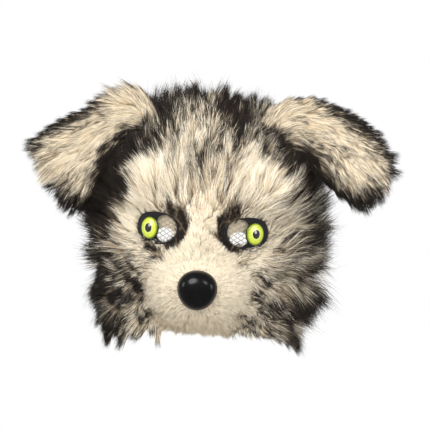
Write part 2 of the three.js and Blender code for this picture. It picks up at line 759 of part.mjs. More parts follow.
// The ear's frame at a share of its length: across points to its upper edge, up to its tip, and out ahead
function earFrame(ear, share) {
  const [upper, lower] = [earEdge(ear, ear.upper), earEdge(ear, ear.lower)];
  const middle = (t) => upper.getPoint(t).lerp(lower.getPoint(t), 0.5);
  const span = upper.getPoint(share).sub(lower.getPoint(share));
  const step = 0.02;
  const ahead = middle(Math.min(share + step, 1)).sub(middle(share - step)).normalize();
  const across = span.clone().normalize();
  const out = across.clone().cross(ahead).normalize();
  if (out.dot(FRONT) < 0) out.negate();
  return { ...frameAt(middle(share), across, ahead, out), halfWidth: span.length() / 2 };
}

// A point on the ear: sideways from -1 to 1 of its half width, and above or below its middle
function earPoint(frame, halfWidth, sideways, height) {
  return frame.at(halfWidth * sideways, 0, height - EAR_CUP * sideways * sideways);
}

function earShareAt(share, column) {
  const next = Math.max(EAR_SECTIONS.findIndex((section) => section.along >= share), 1);
  const [a, b] = [EAR_SECTIONS[next - 1], EAR_SECTIONS[next]];
  return THREE.MathUtils.mapLinear(share, a.along, b.along, a[column], b[column]);
}

function earPad(ear, growWidth, growDepth) {
  const rings = EAR_SECTIONS.map((section) => {
    const frame = earFrame(ear, section.along);
    const halfWidth = frame.halfWidth * section.width + growWidth;
    return Array.from({ length: EAR_SIDES }, (_, i) => {
      const turn = (2 * Math.PI * i) / EAR_SIDES;
      const height = ((EAR_THICKNESS / 2) * section.thick + growDepth) * Math.sin(turn);
      return earPoint(frame, halfWidth, Math.cos(turn), height);
    });
  });
  return solidOf(loft(rings));
}

function earLocks(ear) {
  const tufts = [];
  const edge = EAR_EDGE_LOCKS;
  for (const sideways of [-1, 1])
    for (let i = 0; i < edge.count; i++) {
      const share = THREE.MathUtils.mapLinear(i, 0, edge.count - 1, edge.first, edge.last);
      const frame = earFrame(ear, share);
      const halfWidth = frame.halfWidth * earShareAt(share, "width");
      const root = earPoint(frame, halfWidth, sideways * edge.inset, 0);
      const outward = along(ORIGIN, [frame.across, sideways], [frame.up, 0.5 + share ** 6]).normalize();
      tufts.push(edgeLock(root, outward, frame.out, i + share * sideways));
    }
  const tip = EAR_TIP_LOCKS;
  const end = earFrame(ear, tip.along);
  for (const sideways of tip.places) {
    const root = earPoint(end, end.halfWidth * earShareAt(tip.along, "width"), sideways, 0);
    const outward = along(ORIGIN, [end.up, 1], [end.across, sideways * tip.spread]).normalize();
    tufts.push(edgeLock(root, outward, end.out, sideways));
  }
  const face = EAR_FACE_LOCKS;
  for (const row of face.rows)
    for (const sideways of row.places) {
      const frame = earFrame(ear, row.along);
      const above = (EAR_THICKNESS / 3) * earShareAt(row.along, "thick");
      const root = earPoint(frame, frame.halfWidth * earShareAt(row.along, "width"), sideways, above);
      const comb = along(frame.up, [frame.across, sideways * face.spread]);
      tufts.push(lock(root, frame.out, comb, face.length, face.width, face.lift, EAR_THICKNESS / 8));
    }
  return tufts;
}

// A flat lock that stands out of an ear's edge
function edgeLock(root, straight, normal, n) {
  const length = EAR_EDGE_LOCKS.length * (1 + LOCK_VARIATION * sway(n));
  const width = EAR_EDGE_LOCKS.width * (1 + LOCK_VARIATION * sway(n + 0.5));
  const turn = THREE.MathUtils.degToRad(LOCK_SWAY) * sway(n + 0.25);
  const outward = straight.clone().applyAxisAngle(normal, turn);
  const sideways = outward.clone().cross(normal).normalize();
  const [halfWidth, halfDepth] = [width / 2, EAR_EDGE_LOCKS.depth / 2];
  const ring = (reach, size) =>
    squareRing(along(root, [outward, reach]), sideways, halfWidth * size, normal, halfDepth * size);
  return solidOf(loft([ring(-width / 4, 0.85), ring(length / 2, 0.7), ring(length, 0)]));
}

// The strap: an elastic band that lies inside the form's cheeks and goes round the back of the head
function strap() {
  const halfWidth = HEAD_HALF_WIDTH - WALL - GAP;
  const front = FACE_DEPTH - WALL - GAP;
  const back = STRAP_BACK - STRAP_THICKNESS;
  const lap = Math.asin((STRAP_LAP - rimY(STRAP_HEIGHT)) / front);
  const outer = new THREE.Path();
  outer.absellipse(0, 0, halfWidth, front, -lap, 0, false);
  outer.absellipse(0, 0, halfWidth, STRAP_BACK, 0, Math.PI, false);
  outer.absellipse(0, 0, halfWidth, front, Math.PI, Math.PI + lap, false);
  const inner = new THREE.Path();
  const t = STRAP_THICKNESS;
  inner.absellipse(0, 0, halfWidth - t, front - t, Math.PI + lap, Math.PI, true);
  inner.absellipse(0, 0, halfWidth - t, back, Math.PI, 0, true);
  inner.absellipse(0, 0, halfWidth - t, front - t, 0, -lap, true);
  const outline = new THREE.Shape([...outer.getPoints(STRAP_DIVISIONS), ...inner.getPoints(STRAP_DIVISIONS)]);
  const band = new THREE.ExtrudeGeometry(outline, { depth: STRAP_WIDTH, bevelEnabled: false });
  band.translate(0, 0, STRAP_HEIGHT - STRAP_WIDTH / 2);
  const wallSpace = headBody(GAP).subtract(headBody(-WALL - GAP)).intersect(kept);
  return mainBody(solidOf(band).subtract(wallSpace));
}

// Put together

const EYES = [
  { name: "left", side: -1 },
  { name: "right", side: 1 },
].map((eye) => ({ ...eye, frame: eyeFrame(eye.side) }));

const CREAM = 0xd9c6a3;
const GREY_BROWN = 0x8a7762;
const TAN = 0xc9b592;
const NET_GREY = 0x9c9184;
const BLACK = 0x151415;
const IRIS_GREEN = 0xc9dc3c;
const STRAP_BLACK = 0x1c1b1c;

const kept = keptSpace();

function maskForm(seats) {
  const shell = layer(-WALL, WALL).intersect(kept);
  const spaces = EYES.flatMap(({ frame }, i) => [windowOutline(frame), eyeSpace(seats[i])]);
  return shell.subtract(joined(spaces));
}

function muzzleFur() {
  const panel = layer(GAP, BACKING).intersect(kept).intersect(muzzlePrism(-GAP / 2));
  return mainBody(joined([panel, ...muzzleLocks()]).subtract(headBody(GAP)));
}

// The ears stand in the fur cloth, and its locks keep clear of theirs
function headFur() {
  const sheet = layer(GAP, BACKING).intersect(kept);
  const earSpaces = joined(EARS.map((ear) => earPad(ear, EAR_PILE_SPACE, EAR_PILE_SPACE / 2)));
  const fur = joined([sheet, joined(headLocks()).subtract(earSpaces)]);
  const spaces = [
    headBody(GAP),
    muzzlePrism(GAP / 2),
    ...EYES.map(({ frame }) => eyeOutline(frame, GAP)),
    ...EARS.map((ear) => earPad(ear, GAP, GAP)),
  ];
  return mainBody(fur.subtract(joined(spaces)));
}

function earSolid(ear) {
  const locks = joined(earLocks(ear)).subtract(headBody(CLOTH_TOP + GAP));
  return mainBody(joined([earPad(ear, 0, 0), locks]).subtract(headBody(GAP)));
}

function piece(name, solid, color, roughness) {
  const material = new THREE.MeshStandardMaterial({ color, roughness, metalness: 0 });
  const mesh = new THREE.Mesh(geometryOf(solid), material);
  mesh.name = name;
  return mesh;
}

const seats = EYES.map(({ frame, side }) => plasticEyeSeat(frame, side));
const mask = new THREE.Group();
mask.add(piece("mask_form", maskForm(seats), TAN, 0.8));
mask.add(piece("head_fur", headFur(), GREY_BROWN, 0.95));
mask.add(piece("muzzle_fur", muzzleFur(), CREAM, 0.95));
mask.add(piece("nose", nose(headBody(CLOTH_TOP + GAP)), BLACK, 0.35));
for (const ear of EARS) mask.add(piece(ear.name, earSolid(ear), CREAM, 0.95));
EYES.forEach(({ name, frame }, i) => {
  mask.add(piece(name + "_eye_net", netWindow(frame, seats[i]), NET_GREY, 0.6));
  mask.add(piece(name + "_eye_patch", feltPatch(frame, seats[i]), BLACK, 0.95));
  mask.add(piece(name + "_eye", plasticEye(seats[i]), IRIS_GREEN, 0.2));
  mask.add(piece(name + "_pupil", pupil(seats[i]), BLACK, 0.1));
});
mask.add(piece("strap", strap(), STRAP_BLACK, 0.8));

// The origin is the point on the form's inner face that rests on the middle of the forehead
const foreheadReach = crossing((y) => faceDistance(vec(0, -y, BROW_CONTACT_Z)), 0, FAR);
const browContact = vec(0, -foreheadReach, BROW_CONTACT_Z);
browContact.addScaledVector(outwardAt(browContact), -WALL);
mask.position.copy(browContact).negate();

export default mask;
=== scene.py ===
# A plush wolf half mask: long fur cloth over a stiff form, short pile on the muzzle, drooping ears,
# plastic eyes on black felt beside see-through net, a coated nose and an elastic strap

import math

import bmesh
import bpy
import numpy as np
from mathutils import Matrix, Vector


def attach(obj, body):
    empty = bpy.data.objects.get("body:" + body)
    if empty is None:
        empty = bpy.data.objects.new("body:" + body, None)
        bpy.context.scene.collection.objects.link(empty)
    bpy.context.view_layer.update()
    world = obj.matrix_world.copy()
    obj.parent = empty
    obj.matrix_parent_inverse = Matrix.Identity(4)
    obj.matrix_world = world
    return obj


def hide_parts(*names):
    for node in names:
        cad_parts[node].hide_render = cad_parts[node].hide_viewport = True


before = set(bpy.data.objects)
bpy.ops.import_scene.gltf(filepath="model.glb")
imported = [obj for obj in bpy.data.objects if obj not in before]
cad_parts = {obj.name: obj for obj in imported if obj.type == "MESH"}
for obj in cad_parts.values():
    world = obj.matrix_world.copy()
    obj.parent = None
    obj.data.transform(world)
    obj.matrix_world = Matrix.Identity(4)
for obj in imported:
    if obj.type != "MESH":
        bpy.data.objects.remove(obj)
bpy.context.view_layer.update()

# Shapes are worked out in millimetres about the eye line and the plane of the wearer's ears. The row's origin
# is on the inside of the form at the forehead.
mm = 0.001

form = {
    "halfWidth": 82, "faceDepth": 92, "crownHeight": 112, "jawReach": 175, "squareness": 2.6, "wall": 2.5,
    "rimTopY": 8, "rimHemY": -20, "hemFrontZ": -76, "hemBackZ": -86, "browContactZ": 34,
    "rayCentre": (0, 0, -30), "nearReach": 10.0, "farReach": 400.0, "widestAngle": 2.4,
    "columns": 100, "rows": 44, "rowSpread": 1.15, "sharpAngle": 35, "boreReach": 40,
}
swellings = {
    "muzzle": {"z": -50, "halfWidth": 40, "halfHeight": 34, "rise": 42, "sink": 22, "softness": 24},
    "bridge": {"z": -8, "halfWidth": 17, "halfHeight": 38, "rise": 11, "sink": 20, "softness": 18},
    "brow": {"x": 37, "z": 33, "halfWidth": 27, "halfHeight": 15, "rise": 8, "sink": 14, "softness": 14},
}
cloth = {"gap": 0.3, "thickness": 2, "muzzleSeam": 6, "seamReach": 300}
clothTop = cloth["gap"] + cloth["thickness"]


# The face as one closed surface, below zero inside it. Points are rows of x, y, z.
def blobDistance(points, centre, radii, squareness=2):
    q = (points - np.array(centre, float)) / np.array(radii, float)
    across, up = np.abs(q[..., 0]), np.abs(q[..., 2])
    outline = np.maximum((across ** squareness + up ** squareness) ** (1 / squareness), 1e-9)
    near = np.maximum(np.hypot(outline, q[..., 1]), 1e-6)
    share = outline ** (2 - squareness)
    slope = np.stack([
        share * across ** (squareness - 1) / radii[0],
        q[..., 1] / radii[1],
        share * up ** (squareness - 1) / radii[2],
    ], -1)
    return near * (near - 1) / np.maximum(np.linalg.norm(slope, axis=-1), 1e-9)


def softUnion(a, b, softness):
    mixed = np.maximum(softness - np.abs(a - b), 0) / softness
    return np.minimum(a, b) - mixed * mixed * softness / 4


def headDistance(points):
    above, below = (
        blobDistance(points, (0, 0, 0), (form["halfWidth"], form["faceDepth"], form[end]), form["squareness"])
        for end in ("crownHeight", "jawReach")
    )
    return np.where(points[..., 2] > 0, above, below)


def cross(value, low, high, steps=40):
    # where value(t) passes from below zero to above it, for a whole array at once
    for _ in range(steps):
        middle = (low + high) / 2
        below = value(middle) < 0
        low, high = np.where(below, middle, low), np.where(below, high, middle)
    return (low + high) / 2


def ahead(x, z, distance):
    # how far in front of the ears' plane the surface lies at x and z
    x, z = np.broadcast_arrays(np.asarray(x, float), np.asarray(z, float))
    far = np.full(x.shape, form["farReach"])
    return cross(lambda y: distance(np.stack([x, -y, z], -1)), np.zeros(x.shape), far)


def swellingBlobs():
    brow = swellings["brow"]
    browFace = -float(ahead(brow["x"], brow["z"], headDistance))
    places = [
        (swellings["muzzle"], 0, -form["faceDepth"]),
        (swellings["bridge"], 0, -form["faceDepth"]),
        (brow, -brow["x"], browFace),
        (brow, brow["x"], browFace),
    ]
    return [
        ((x, face + row["sink"], row["z"]), (row["halfWidth"], row["rise"] + row["sink"], row["halfHeight"]),
         row["softness"])
        for row, x, face in places
    ]


blobs = swellingBlobs()


def faceDistance(points):
    d = headDistance(points)
    for centre, radii, softness in blobs:
        d = softUnion(d, blobDistance(points, centre, radii), softness)
    return d


def unit(vectors):
    return vectors / np.linalg.norm(vectors, axis=-1, keepdims=True)


def laidAlong(vectors, out, share=1.0):
    # takes away what stands out of the skin, or a share of it
    return unit(vectors - out * (vectors * out).sum(-1, keepdims=True) * share)


def outwardAt(points, step=0.5):
    return unit(np.stack([
        faceDistance(points + step * axis) - faceDistance(points - step * axis) for axis in np.eye(3)
    ], -1))


def surfaceAt(polar, around):
    # polar is the angle from straight ahead, and around the angle about that line
    polar, around = np.broadcast_arrays(np.asarray(polar, float), np.asarray(around, float))
    direction = np.stack([
        np.sin(polar) * np.cos(around), -np.cos(polar), np.sin(polar) * np.sin(around),
    ], -1)
    centre = np.array(form["rayCentre"], float)
    near, far = np.full(polar.shape, form["nearReach"]), np.full(polar.shape, form["farReach"])
    reach = cross(lambda t: faceDistance(centre + direction * t[..., None]), near, far)
    return centre + direction * reach[..., None]


def rimY(z):
    share = (z - form["hemBackZ"]) / (form["crownHeight"] - form["hemBackZ"])
    return form["rimHemY"] + share * (form["rimTopY"] - form["rimHemY"])


def hemZ(y):
    front = -form["faceDepth"] - swellings["muzzle"]["rise"]
    share = (y - front) / (form["rimHemY"] - front)
    return form["hemFrontZ"] + share * (form["hemBackZ"] - form["hemFrontZ"])


def pastEdge(p):
    return np.maximum(p[..., 1] - rimY(p[..., 2]), hemZ(p[..., 1]) - p[..., 2])


def pastMuzzleSeam(p):
    muzzle = swellings["muzzle"]
    across = p[..., 0] / (muzzle["halfWidth"] + cloth["muzzleSeam"])
    up = (p[..., 2] - muzzle["z"]) / (muzzle["halfHeight"] + cloth["muzzleSeam"])
    return np.hypot(across, up) - 1


def rowOrigin():
    contact = np.array([0, -float(ahead(0, form["browContactZ"], faceDistance)), form["browContactZ"]])
    return contact - outwardAt(contact) * form["wall"]


origin = rowOrigin()


def toRow(points):
    return (np.asarray(points, float) - origin) * mm


# Meshes and finished pieces

def linked(name, data):
    made = bpy.data.objects.new(name, data)
    bpy.context.scene.collection.objects.link(made)
    return made


def meshObject(name, points, faces, edges=(), row=True):
    mesh = bpy.data.meshes.new(name)
    mesh.from_pydata((toRow(points) if row else np.asarray(points, float)).tolist(), list(edges), faces)
    mesh.update()
    return linked(name, mesh)


def smooth(made, angle=None):
    made.data.polygons.foreach_set("use_smooth", np.ones(len(made.data.polygons), bool))
    if angle is not None:
        made.data.set_sharp_from_angle(angle=math.radians(angle))
    return made


def plain(made):
    # bakes the modifiers into the mesh
    depsgraph = bpy.context.evaluated_depsgraph_get()
    mesh = bpy.data.meshes.new_from_object(made.evaluated_get(depsgraph), depsgraph=depsgraph)
    made.modifiers.clear()
    made.data = mesh
    mesh.name = made.name
    return made


def cut(made, tool, operation="DIFFERENCE"):
    modifier = made.modifiers.new("cut", "BOOLEAN")
    modifier.object = tool
    modifier.operation = operation
    modifier.solver = "EXACT"
    plain(made)
    bpy.data.objects.remove(tool)
    return made


def finished(made, material, slot, *replaced):
    if material:
        made.data.materials.clear()
        made.data.materials.append(material)
    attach(made, "root")
    if replaced:
        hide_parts(*replaced)
    return made


def turns(sides):
    return np.arange(sides) * 2 * math.pi / sides


def ringFaces(rings, count, closeStart=True, closeEnd=True, joined=False):
    # bands between rings of points, with a lid at either end or the last ring joined to the first
    total = rings * count
    faces = []
    for r in range(rings if joined else rings - 1):
        for i in range(count):
            a, b = r * count + i, r * count + (i + 1) % count
            faces.append((a, b, (b + count) % total, (a + count) % total))
    if closeStart:
        faces.append(tuple(reversed(range(count))))
    if closeEnd:
        faces.append(tuple(range(total - count, total)))
    return faces


def shifted(faces, by):
    return [tuple(v + by for v in face) for face in faces]


def facedOut(made):
    b = bmesh.new()
    b.from_mesh(made.data)
    bmesh.ops.remove_doubles(b, verts=b.verts, dist=1e-7)
    bmesh.ops.recalc_face_normals(b, faces=b.faces)
    b.to_mesh(made.data)
    b.free()
    return made


def ring(flat, halfWidth, halfHeight, sides, height=0.0):
    # an ellipse over a flat place, which has a centre and the directions across, up and out
    turn = turns(sides)
    return (
        flat["centre"] + np.outer(halfWidth * np.cos(turn), flat["across"])
        + np.outer(halfHeight * np.sin(turn), flat["up"]) + height * flat["out"]
    )


def ellipsePrism(name, flat, halfWidth, halfHeight, low, high, sides=64):
    rings = [ring(flat, halfWidth, halfHeight, sides, height) for height in (low, high)]
    return facedOut(meshObject(name, np.concatenate(rings), ringFaces(2, sides)))


def bore(made, flat, halfWidth, halfHeight, sides=64):
    # an elliptical hole right through
    reach = form["boreReach"]
    return cut(made, ellipsePrism("hole", flat, halfWidth, halfHeight, -reach, reach, sides))
# Shader and geometry maths

class Wire:
    # one socket, which can stand in a sum
    def __init__(self, board, socket):
        self.board = board
        self.socket = socket

    def of(self, name):
        return self.board.output(self.socket.node, name)

    def __add__(self, other):
        return self.board.calculate("ADD", self, other)

    def __radd__(self, other):
        return self.board.calculate("ADD", other, self)

    def __sub__(self, other):
        return self.board.calculate("SUBTRACT", self, other)

    def __rsub__(self, other):
        return self.board.calculate("SUBTRACT", other, self)

    def __mul__(self, other):
        return self.board.calculate("MULTIPLY", self, other)

    def __rmul__(self, other):
        return self.board.calculate("MULTIPLY", other, self)

    def __truediv__(self, other):
        return self.board.calculate("DIVIDE", self, other)

    def __pow__(self, other):
        return self.board.calculate("POWER", self, other)


def isVector(term):
    if isinstance(term, Wire):
        return term.socket.type in ("VECTOR", "RGBA")
    return isinstance(term, (tuple, Vector))


class Board:
    # a node tree and the one way to add a node to it
    def __init__(self, tree):
        self.tree = tree

    def output(self, node, name=None):
        found = [s for s in node.outputs if s.enabled and (name is None or s.name == name)]
        return Wire(self, found[0])

    def node(self, kind, settings=None, values=None):
        made = self.tree.nodes.new(kind)
        for name, value in (settings or {}).items():
            if name == "stops":
                self.setStops(made.color_ramp, value)
            else:
                setattr(made, name, value)
        for name, value in (values or {}).items():
            found = made.inputs[name] if isinstance(name, int) else next(
                s for s in made.inputs if s.name == name and s.enabled)
            if isinstance(value, Wire):
                self.tree.links.new(value.socket, found)
            else:
                found.default_value = value
        return self.output(made) if any(s.enabled for s in made.outputs) else made

    def setStops(self, ramp, stops):
        while len(ramp.elements) < len(stops):
            ramp.elements.new(0.5)
        for element, (place, colour) in zip(ramp.elements, stops):
            element.position = place
            element.color = colour

    def calculate(self, operation, *terms):
        kinds = [isVector(term) for term in terms]
        if not any(kinds):
            return self.node("ShaderNodeMath", {"operation": operation}, dict(enumerate(terms)))
        if operation == "MULTIPLY" and not all(kinds):
            vector, scale = terms if kinds[0] else reversed(terms)
            return self.node("ShaderNodeVectorMath", {"operation": "SCALE"}, {0: vector, "Scale": scale})
        return self.node("ShaderNodeVectorMath", {"operation": operation}, dict(enumerate(terms)))

    def between(self, value, low, high, toLow=0.0, toHigh=1.0):
        # a soft step
        return self.node("ShaderNodeMapRange", {"interpolation_type": "SMOOTHSTEP"}, {
            "Value": value, "From Min": low, "From Max": high, "To Min": toLow, "To Max": toHigh})

    def mix(self, factor, first, second, blend="MIX"):
        return self.node("ShaderNodeMix", {"data_type": "RGBA", "blend_type": blend}, {
            "Factor": factor, "A": first, "B": second})

    def noise(self, vector, scale, detail=2.0, roughness=0.5, output="Fac"):
        return self.node("ShaderNodeTexNoise", {}, {
            "Vector": vector, "Scale": scale, "Detail": detail, "Roughness": roughness}).of(output)

    def ramp(self, stops, along):
        return self.node("ShaderNodeValToRGB", {"stops": stops}, {"Fac": along})

    def clamp(self, value, low, high):
        return self.node("ShaderNodeClamp", {}, {"Value": value, "Min": low, "Max": high})

    def bump(self, height, strength, distance):
        return self.node("ShaderNodeBump", {}, {"Height": height, "Strength": strength, "Distance": distance})

    def turned(self, first, second, angle):
        # first, turned towards second
        return first * self.calculate("COSINE", angle) + second * self.calculate("SINE", angle)

    def parts(self, vector):
        split = self.node("ShaderNodeSeparateXYZ", {}, {"Vector": vector})
        return [split.of(axis) for axis in "XYZ"]

    def mapped(self, name):
        return self.node("ShaderNodeUVMap", {"uv_map": name})

    def objectPlace(self):
        return self.node("ShaderNodeTexCoord").of("Object")


def colour(*seen):
    # from a colour as it is seen, 0 to 255
    shares = [value / 255 for value in seen]
    linear = [c / 12.92 if c <= 0.04045 else ((c + 0.055) / 1.055) ** 2.4 for c in shares]
    return (*linear, 1.0)


def newMaterial(name, sockets, build=None, *given):
    # sockets are the values that are the same all over, and build adds what changes over the surface
    made = bpy.data.materials.new(name)
    made.use_nodes = True
    made.node_tree.nodes.clear()
    board = Board(made.node_tree)
    pattern = build(board, *given) if build else {}
    principled = board.node("ShaderNodeBsdfPrincipled", {}, {**pattern, **sockets})
    board.node("ShaderNodeOutputMaterial", {}, {"Surface": principled})
    return made


# The camera and the light

camera = {  # millimetres, degrees and pixels
    "pixel": 0.9, "distance": 1500, "azimuth": 1.0, "elevation": 1.5, "roll": 3.57, "sensor": 36,
    "aim": (10.4, -80, 21.4), "frame": 430, "farthest": 20000,
}


def addCamera():
    data = bpy.data.cameras.new("photoView")
    made = linked("photoView", data)
    azimuth, elevation = math.radians(camera["azimuth"]), math.radians(camera["elevation"])
    level = math.cos(elevation)
    back = Vector((math.sin(azimuth) * level, -math.cos(azimuth) * level, math.sin(elevation)))
    made.location = Vector(toRow(camera["aim"])) + back * camera["distance"] * mm
    made.rotation_euler = back.to_track_quat("Z", "Y").to_euler()
    made.rotation_euler.rotate_axis("Z", math.radians(camera["roll"]))
    data.sensor_width = camera["sensor"]
    data.lens = camera["sensor"] * camera["distance"] / (camera["frame"] * camera["pixel"])
    data.clip_end = camera["farthest"] * mm
    bpy.context.scene.camera = made


lights = {  # metres and watts, and whether shiny pieces mirror the lamp
    "key": {"place": (-0.5, -1.2, 0.85), "size": 0.9, "power": 24, "mirrored": True},
    "fill": {"place": (0.25, -1.3, -0.25), "size": 1.2, "power": 13, "mirrored": False},
    "top": {"place": (0.1, 0.25, 1.2), "size": 0.8, "power": 12, "mirrored": False},
    "left side": {"place": (-1.15, -0.35, 0.25), "size": 0.4, "power": 2.8, "mirrored": True},
    "back": {"place": (0.0, 1.7, 0.35), "size": 1.2, "power": 9, "mirrored": True},
    "shine": {"place": (0.75, -1.1, 0.75), "size": 0.5, "power": 5, "mirrored": True},
    "right side": {"place": (1.15, -0.35, 0.2), "size": 0.4, "power": 2.8, "mirrored": True},
}
studio = {  # metres: a round floor that bends up into a wall all the way round
    "floor": -0.3, "radius": 3.4, "bend": 0.6, "bendSteps": 9, "height": 3.2, "sides": 72, "world": 0.5,
    "lampAim": (0, 0.05, 0),
}
white, black = (1, 1, 1, 1), (0, 0, 0, 1)


def addLights():
    for name, row in lights.items():
        data = bpy.data.lights.new(name, "AREA")
        data.energy = row["power"]
        data.shape = "DISK"
        data.size = row["size"]
        made = linked(name, data)
        made.location = row["place"]
        made.visible_glossy = row["mirrored"]
        made.rotation_euler = (made.location - Vector(studio["lampAim"])).to_track_quat("Z", "Y").to_euler()


def addStudio():
    bend = studio["bend"]
    profile = [
        (studio["radius"] - bend * (1 - math.sin(a)), studio["floor"] + bend * (1 - math.cos(a)))
        for a in np.linspace(0, math.pi / 2, studio["bendSteps"])
    ]
    profile.append((studio["radius"], studio["height"]))
    turn = turns(studio["sides"])
    points = [(radius * math.cos(a), radius * math.sin(a), z) for radius, z in profile for a in turn]
    faces = ringFaces(len(profile), studio["sides"], closeEnd=False)
    sweep = smooth(meshObject("backdrop", points, faces, row=False))
    sweep.data.materials.append(newMaterial("paleBackdrop", {
        "Base Color": black, "Roughness": 1.0, "Specular IOR Level": 0.0,
        "Emission Color": white, "Emission Strength": 1.0}))
    sweep.visible_diffuse = sweep.visible_glossy = False
    world = bpy.data.worlds.new("softSky")
    world.use_nodes = True
    background = world.node_tree.nodes["Background"]
    background.inputs["Color"].default_value = white
    background.inputs["Strength"].default_value = studio["world"]
    scene = bpy.context.scene
    scene.world = world
    scene.view_settings.view_transform = "Standard"
    scene.view_settings.look = "None"


addCamera()
addLights()
addStudio()
print("camera and studio made")


# The grid that the form, its cloth and the fur are made from: rows from the nose out to the rim

def headGrid():
    around = turns(form["columns"])
    widest = np.full(around.shape, form["widestAngle"])
    rim = cross(lambda polar: pastEdge(surfaceAt(polar, around)), np.zeros(around.shape), widest, 24)
    share = np.linspace(0, 1, form["rows"] + 1)[1:, None] ** form["rowSpread"]
    points = surfaceAt(share * rim[None, :], np.broadcast_to(around, (form["rows"], form["columns"])))
    pole = surfaceAt(0.0, 0.0)[None, :]
    return np.concatenate([pole, points.reshape(-1, 3)])


grid = headGrid()
gridOut = outwardAt(grid)


def gridFaces():
    count = form["columns"]
    fan = [(0, 1 + (i + 1) % count, 1 + i) for i in range(count)]
    return fan + shifted(ringFaces(form["rows"], count, closeStart=False, closeEnd=False), 1)


def shell(name, low, high):
    # a closed wall between two heights over the form's outer face
    total, count = len(grid), form["columns"]
    outer = gridFaces()
    inner = [tuple(reversed(face)) for face in shifted(outer, total)]
    rim = [(total - count + i, total - count + (i + 1) % count) for i in range(count)]
    edge = [(a, b, total + b, total + a) for a, b in rim]
    points = np.concatenate([grid + gridOut * high, grid + gridOut * low])
    return facedOut(meshObject(name, points, outer + inner + edge))


# The eyes' places

eye = {
    "spacing": 39.5, "height": 6.5, "turn": 32, "halfWidth": 24, "halfHeight": 15,
    "windowHalfWidth": 10, "windowHalfHeight": 6.5, "windowInset": 6.5, "windowDrop": 5.5,
    "netThickness": 1.2, "feltThickness": 1.2, "feltRim": 2.6,
    "radius": 10, "dome": 2, "edge": 2, "edgeRound": 0.5, "offset": 3.8, "plasticTurn": 8, "stemRadius": 2,
    "stemLength": 6, "pupilRadius": 4, "pupilRise": 0.35, "recess": 1.5, "recessPlay": 0.1, "glue": 0.2,
}
netLow = cloth["gap"]
feltLow = netLow + eye["netThickness"] + cloth["gap"]
eyeLow = feltLow + eye["feltThickness"] + cloth["gap"]
stemHole = eye["stemRadius"] + cloth["gap"]


def eyeFlat(side, turn=0.0):
    angle = math.radians(eye["turn"] + turn)
    x = side * eye["spacing"]
    return {
        "side": side,
        "centre": np.array([x, -float(ahead(x, eye["height"], faceDistance)), eye["height"]]),
        "across": np.array([side * math.cos(angle), math.sin(angle), 0]),
        "up": np.array([0, 0, 1.0]),
        "out": np.array([side * math.sin(angle), -math.cos(angle), 0]),
    }


def moved(flat, across, up, out=0.0):
    return {**flat, "centre": flat["centre"] + across * flat["across"] + up * flat["up"] + out * flat["out"]}


eyes = {"left": eyeFlat(-1), "right": eyeFlat(1)}
sightHalfWidth = eye["halfWidth"] / 2
sightOffset = eye["feltRim"] - eye["halfWidth"] + sightHalfWidth
sights = {name: moved(flat, sightOffset, 0) for name, flat in eyes.items()}


def plasticSeat(flat):
    # the disc is raised until none of its underside is in the felt
    turned = eyeFlat(flat["side"], eye["plasticTurn"])
    level = {**turned, "centre": np.zeros(3)}
    under = np.concatenate([ring(level, reach, reach, 24) for reach in (0, eye["radius"] / 2, eye["radius"])])

    def footAt(raised):
        return moved(flat, eye["offset"], 0, raised)["centre"]

    def clearance(raised):
        return np.array((faceDistance(footAt(float(raised)) + under) - eyeLow).min())

    raised = float(cross(clearance, np.array(-30.0), np.array(30.0)))
    return {**turned, "centre": footAt(raised)}


seats = {name: plasticSeat(flat) for name, flat in eyes.items()}


def inEye(points, flat, grow=0.0):
    # below zero inside the eye's outline, and one at twice its size
    q = points - flat["centre"]
    across, up = q @ flat["across"], q @ flat["up"]
    return np.hypot(across / (eye["halfWidth"] + grow), up / (eye["halfHeight"] + grow)) - 1


# Plain cloths, and the form under them

weave = {"slant": 0.6, "tint": 0.3, "stainScale": 38, "fuzzScale": 900, "strength": 0.5, "depth": 0.0003}


def wovenFinish(board, first, second, thread):
    # a plain weave of threads across and up, with a stain here and there
    place = board.objectPlace()
    x, y, z = board.parts(place)
    scale = math.pi / (thread * mm)
    threads = board.calculate("SINE", (x + y * weave["slant"]) * scale) * board.calculate("SINE", z * scale)
    stain = board.noise(place, weave["stainScale"], 3)
    tint = board.between(threads * weave["tint"] + (stain - 0.5) * 2, -0.8, 0.9)
    relief = threads + board.noise(place, weave["fuzzScale"], 2)
    return {"Base Color": board.mix(tint, first, second),
            "Normal": board.bump(relief, weave["strength"], weave["depth"])}


formCloth = newMaterial(
    "stiffenedWeave", {"Roughness": 0.85, "Sheen Weight": 0.1, "Specular IOR Level": 0.25},
    wovenFinish, colour(206, 194, 170), colour(166, 152, 128), 1.0)
# a real backing cloth, whose dark tan also stands in for shade deep in the pile
backingCloth = newMaterial(
    "furBacking", {"Roughness": 0.95, "Specular IOR Level": 0.15},
    wovenFinish, colour(132, 112, 86), colour(84, 70, 54), 0.8)


def addForm():
    made = shell("stiff_form", -form["wall"], 0)
    for flat in eyes.values():
        window = moved(flat, -eye["windowInset"], -eye["windowDrop"])
        bore(made, window, eye["windowHalfWidth"], eye["windowHalfHeight"], 40)
    for seat in seats.values():
        bore(made, seat, stemHole, stemHole, 24)
    finished(smooth(made, form["sharpAngle"]), formCloth, "form_fabric", "mask_form")


furCloths = {  # the two cloths meet at the muzzle's seam, half a gap to each side of it
    "fur_cloth": {
        "operation": "DIFFERENCE", "grow": cloth["gap"] / 2, "slot": "grey_pile", "node": "head_fur"},
    "muzzle_cloth": {
        "operation": "INTERSECT", "grow": -cloth["gap"] / 2, "slot": "cream_pile", "node": "muzzle_fur"},
}


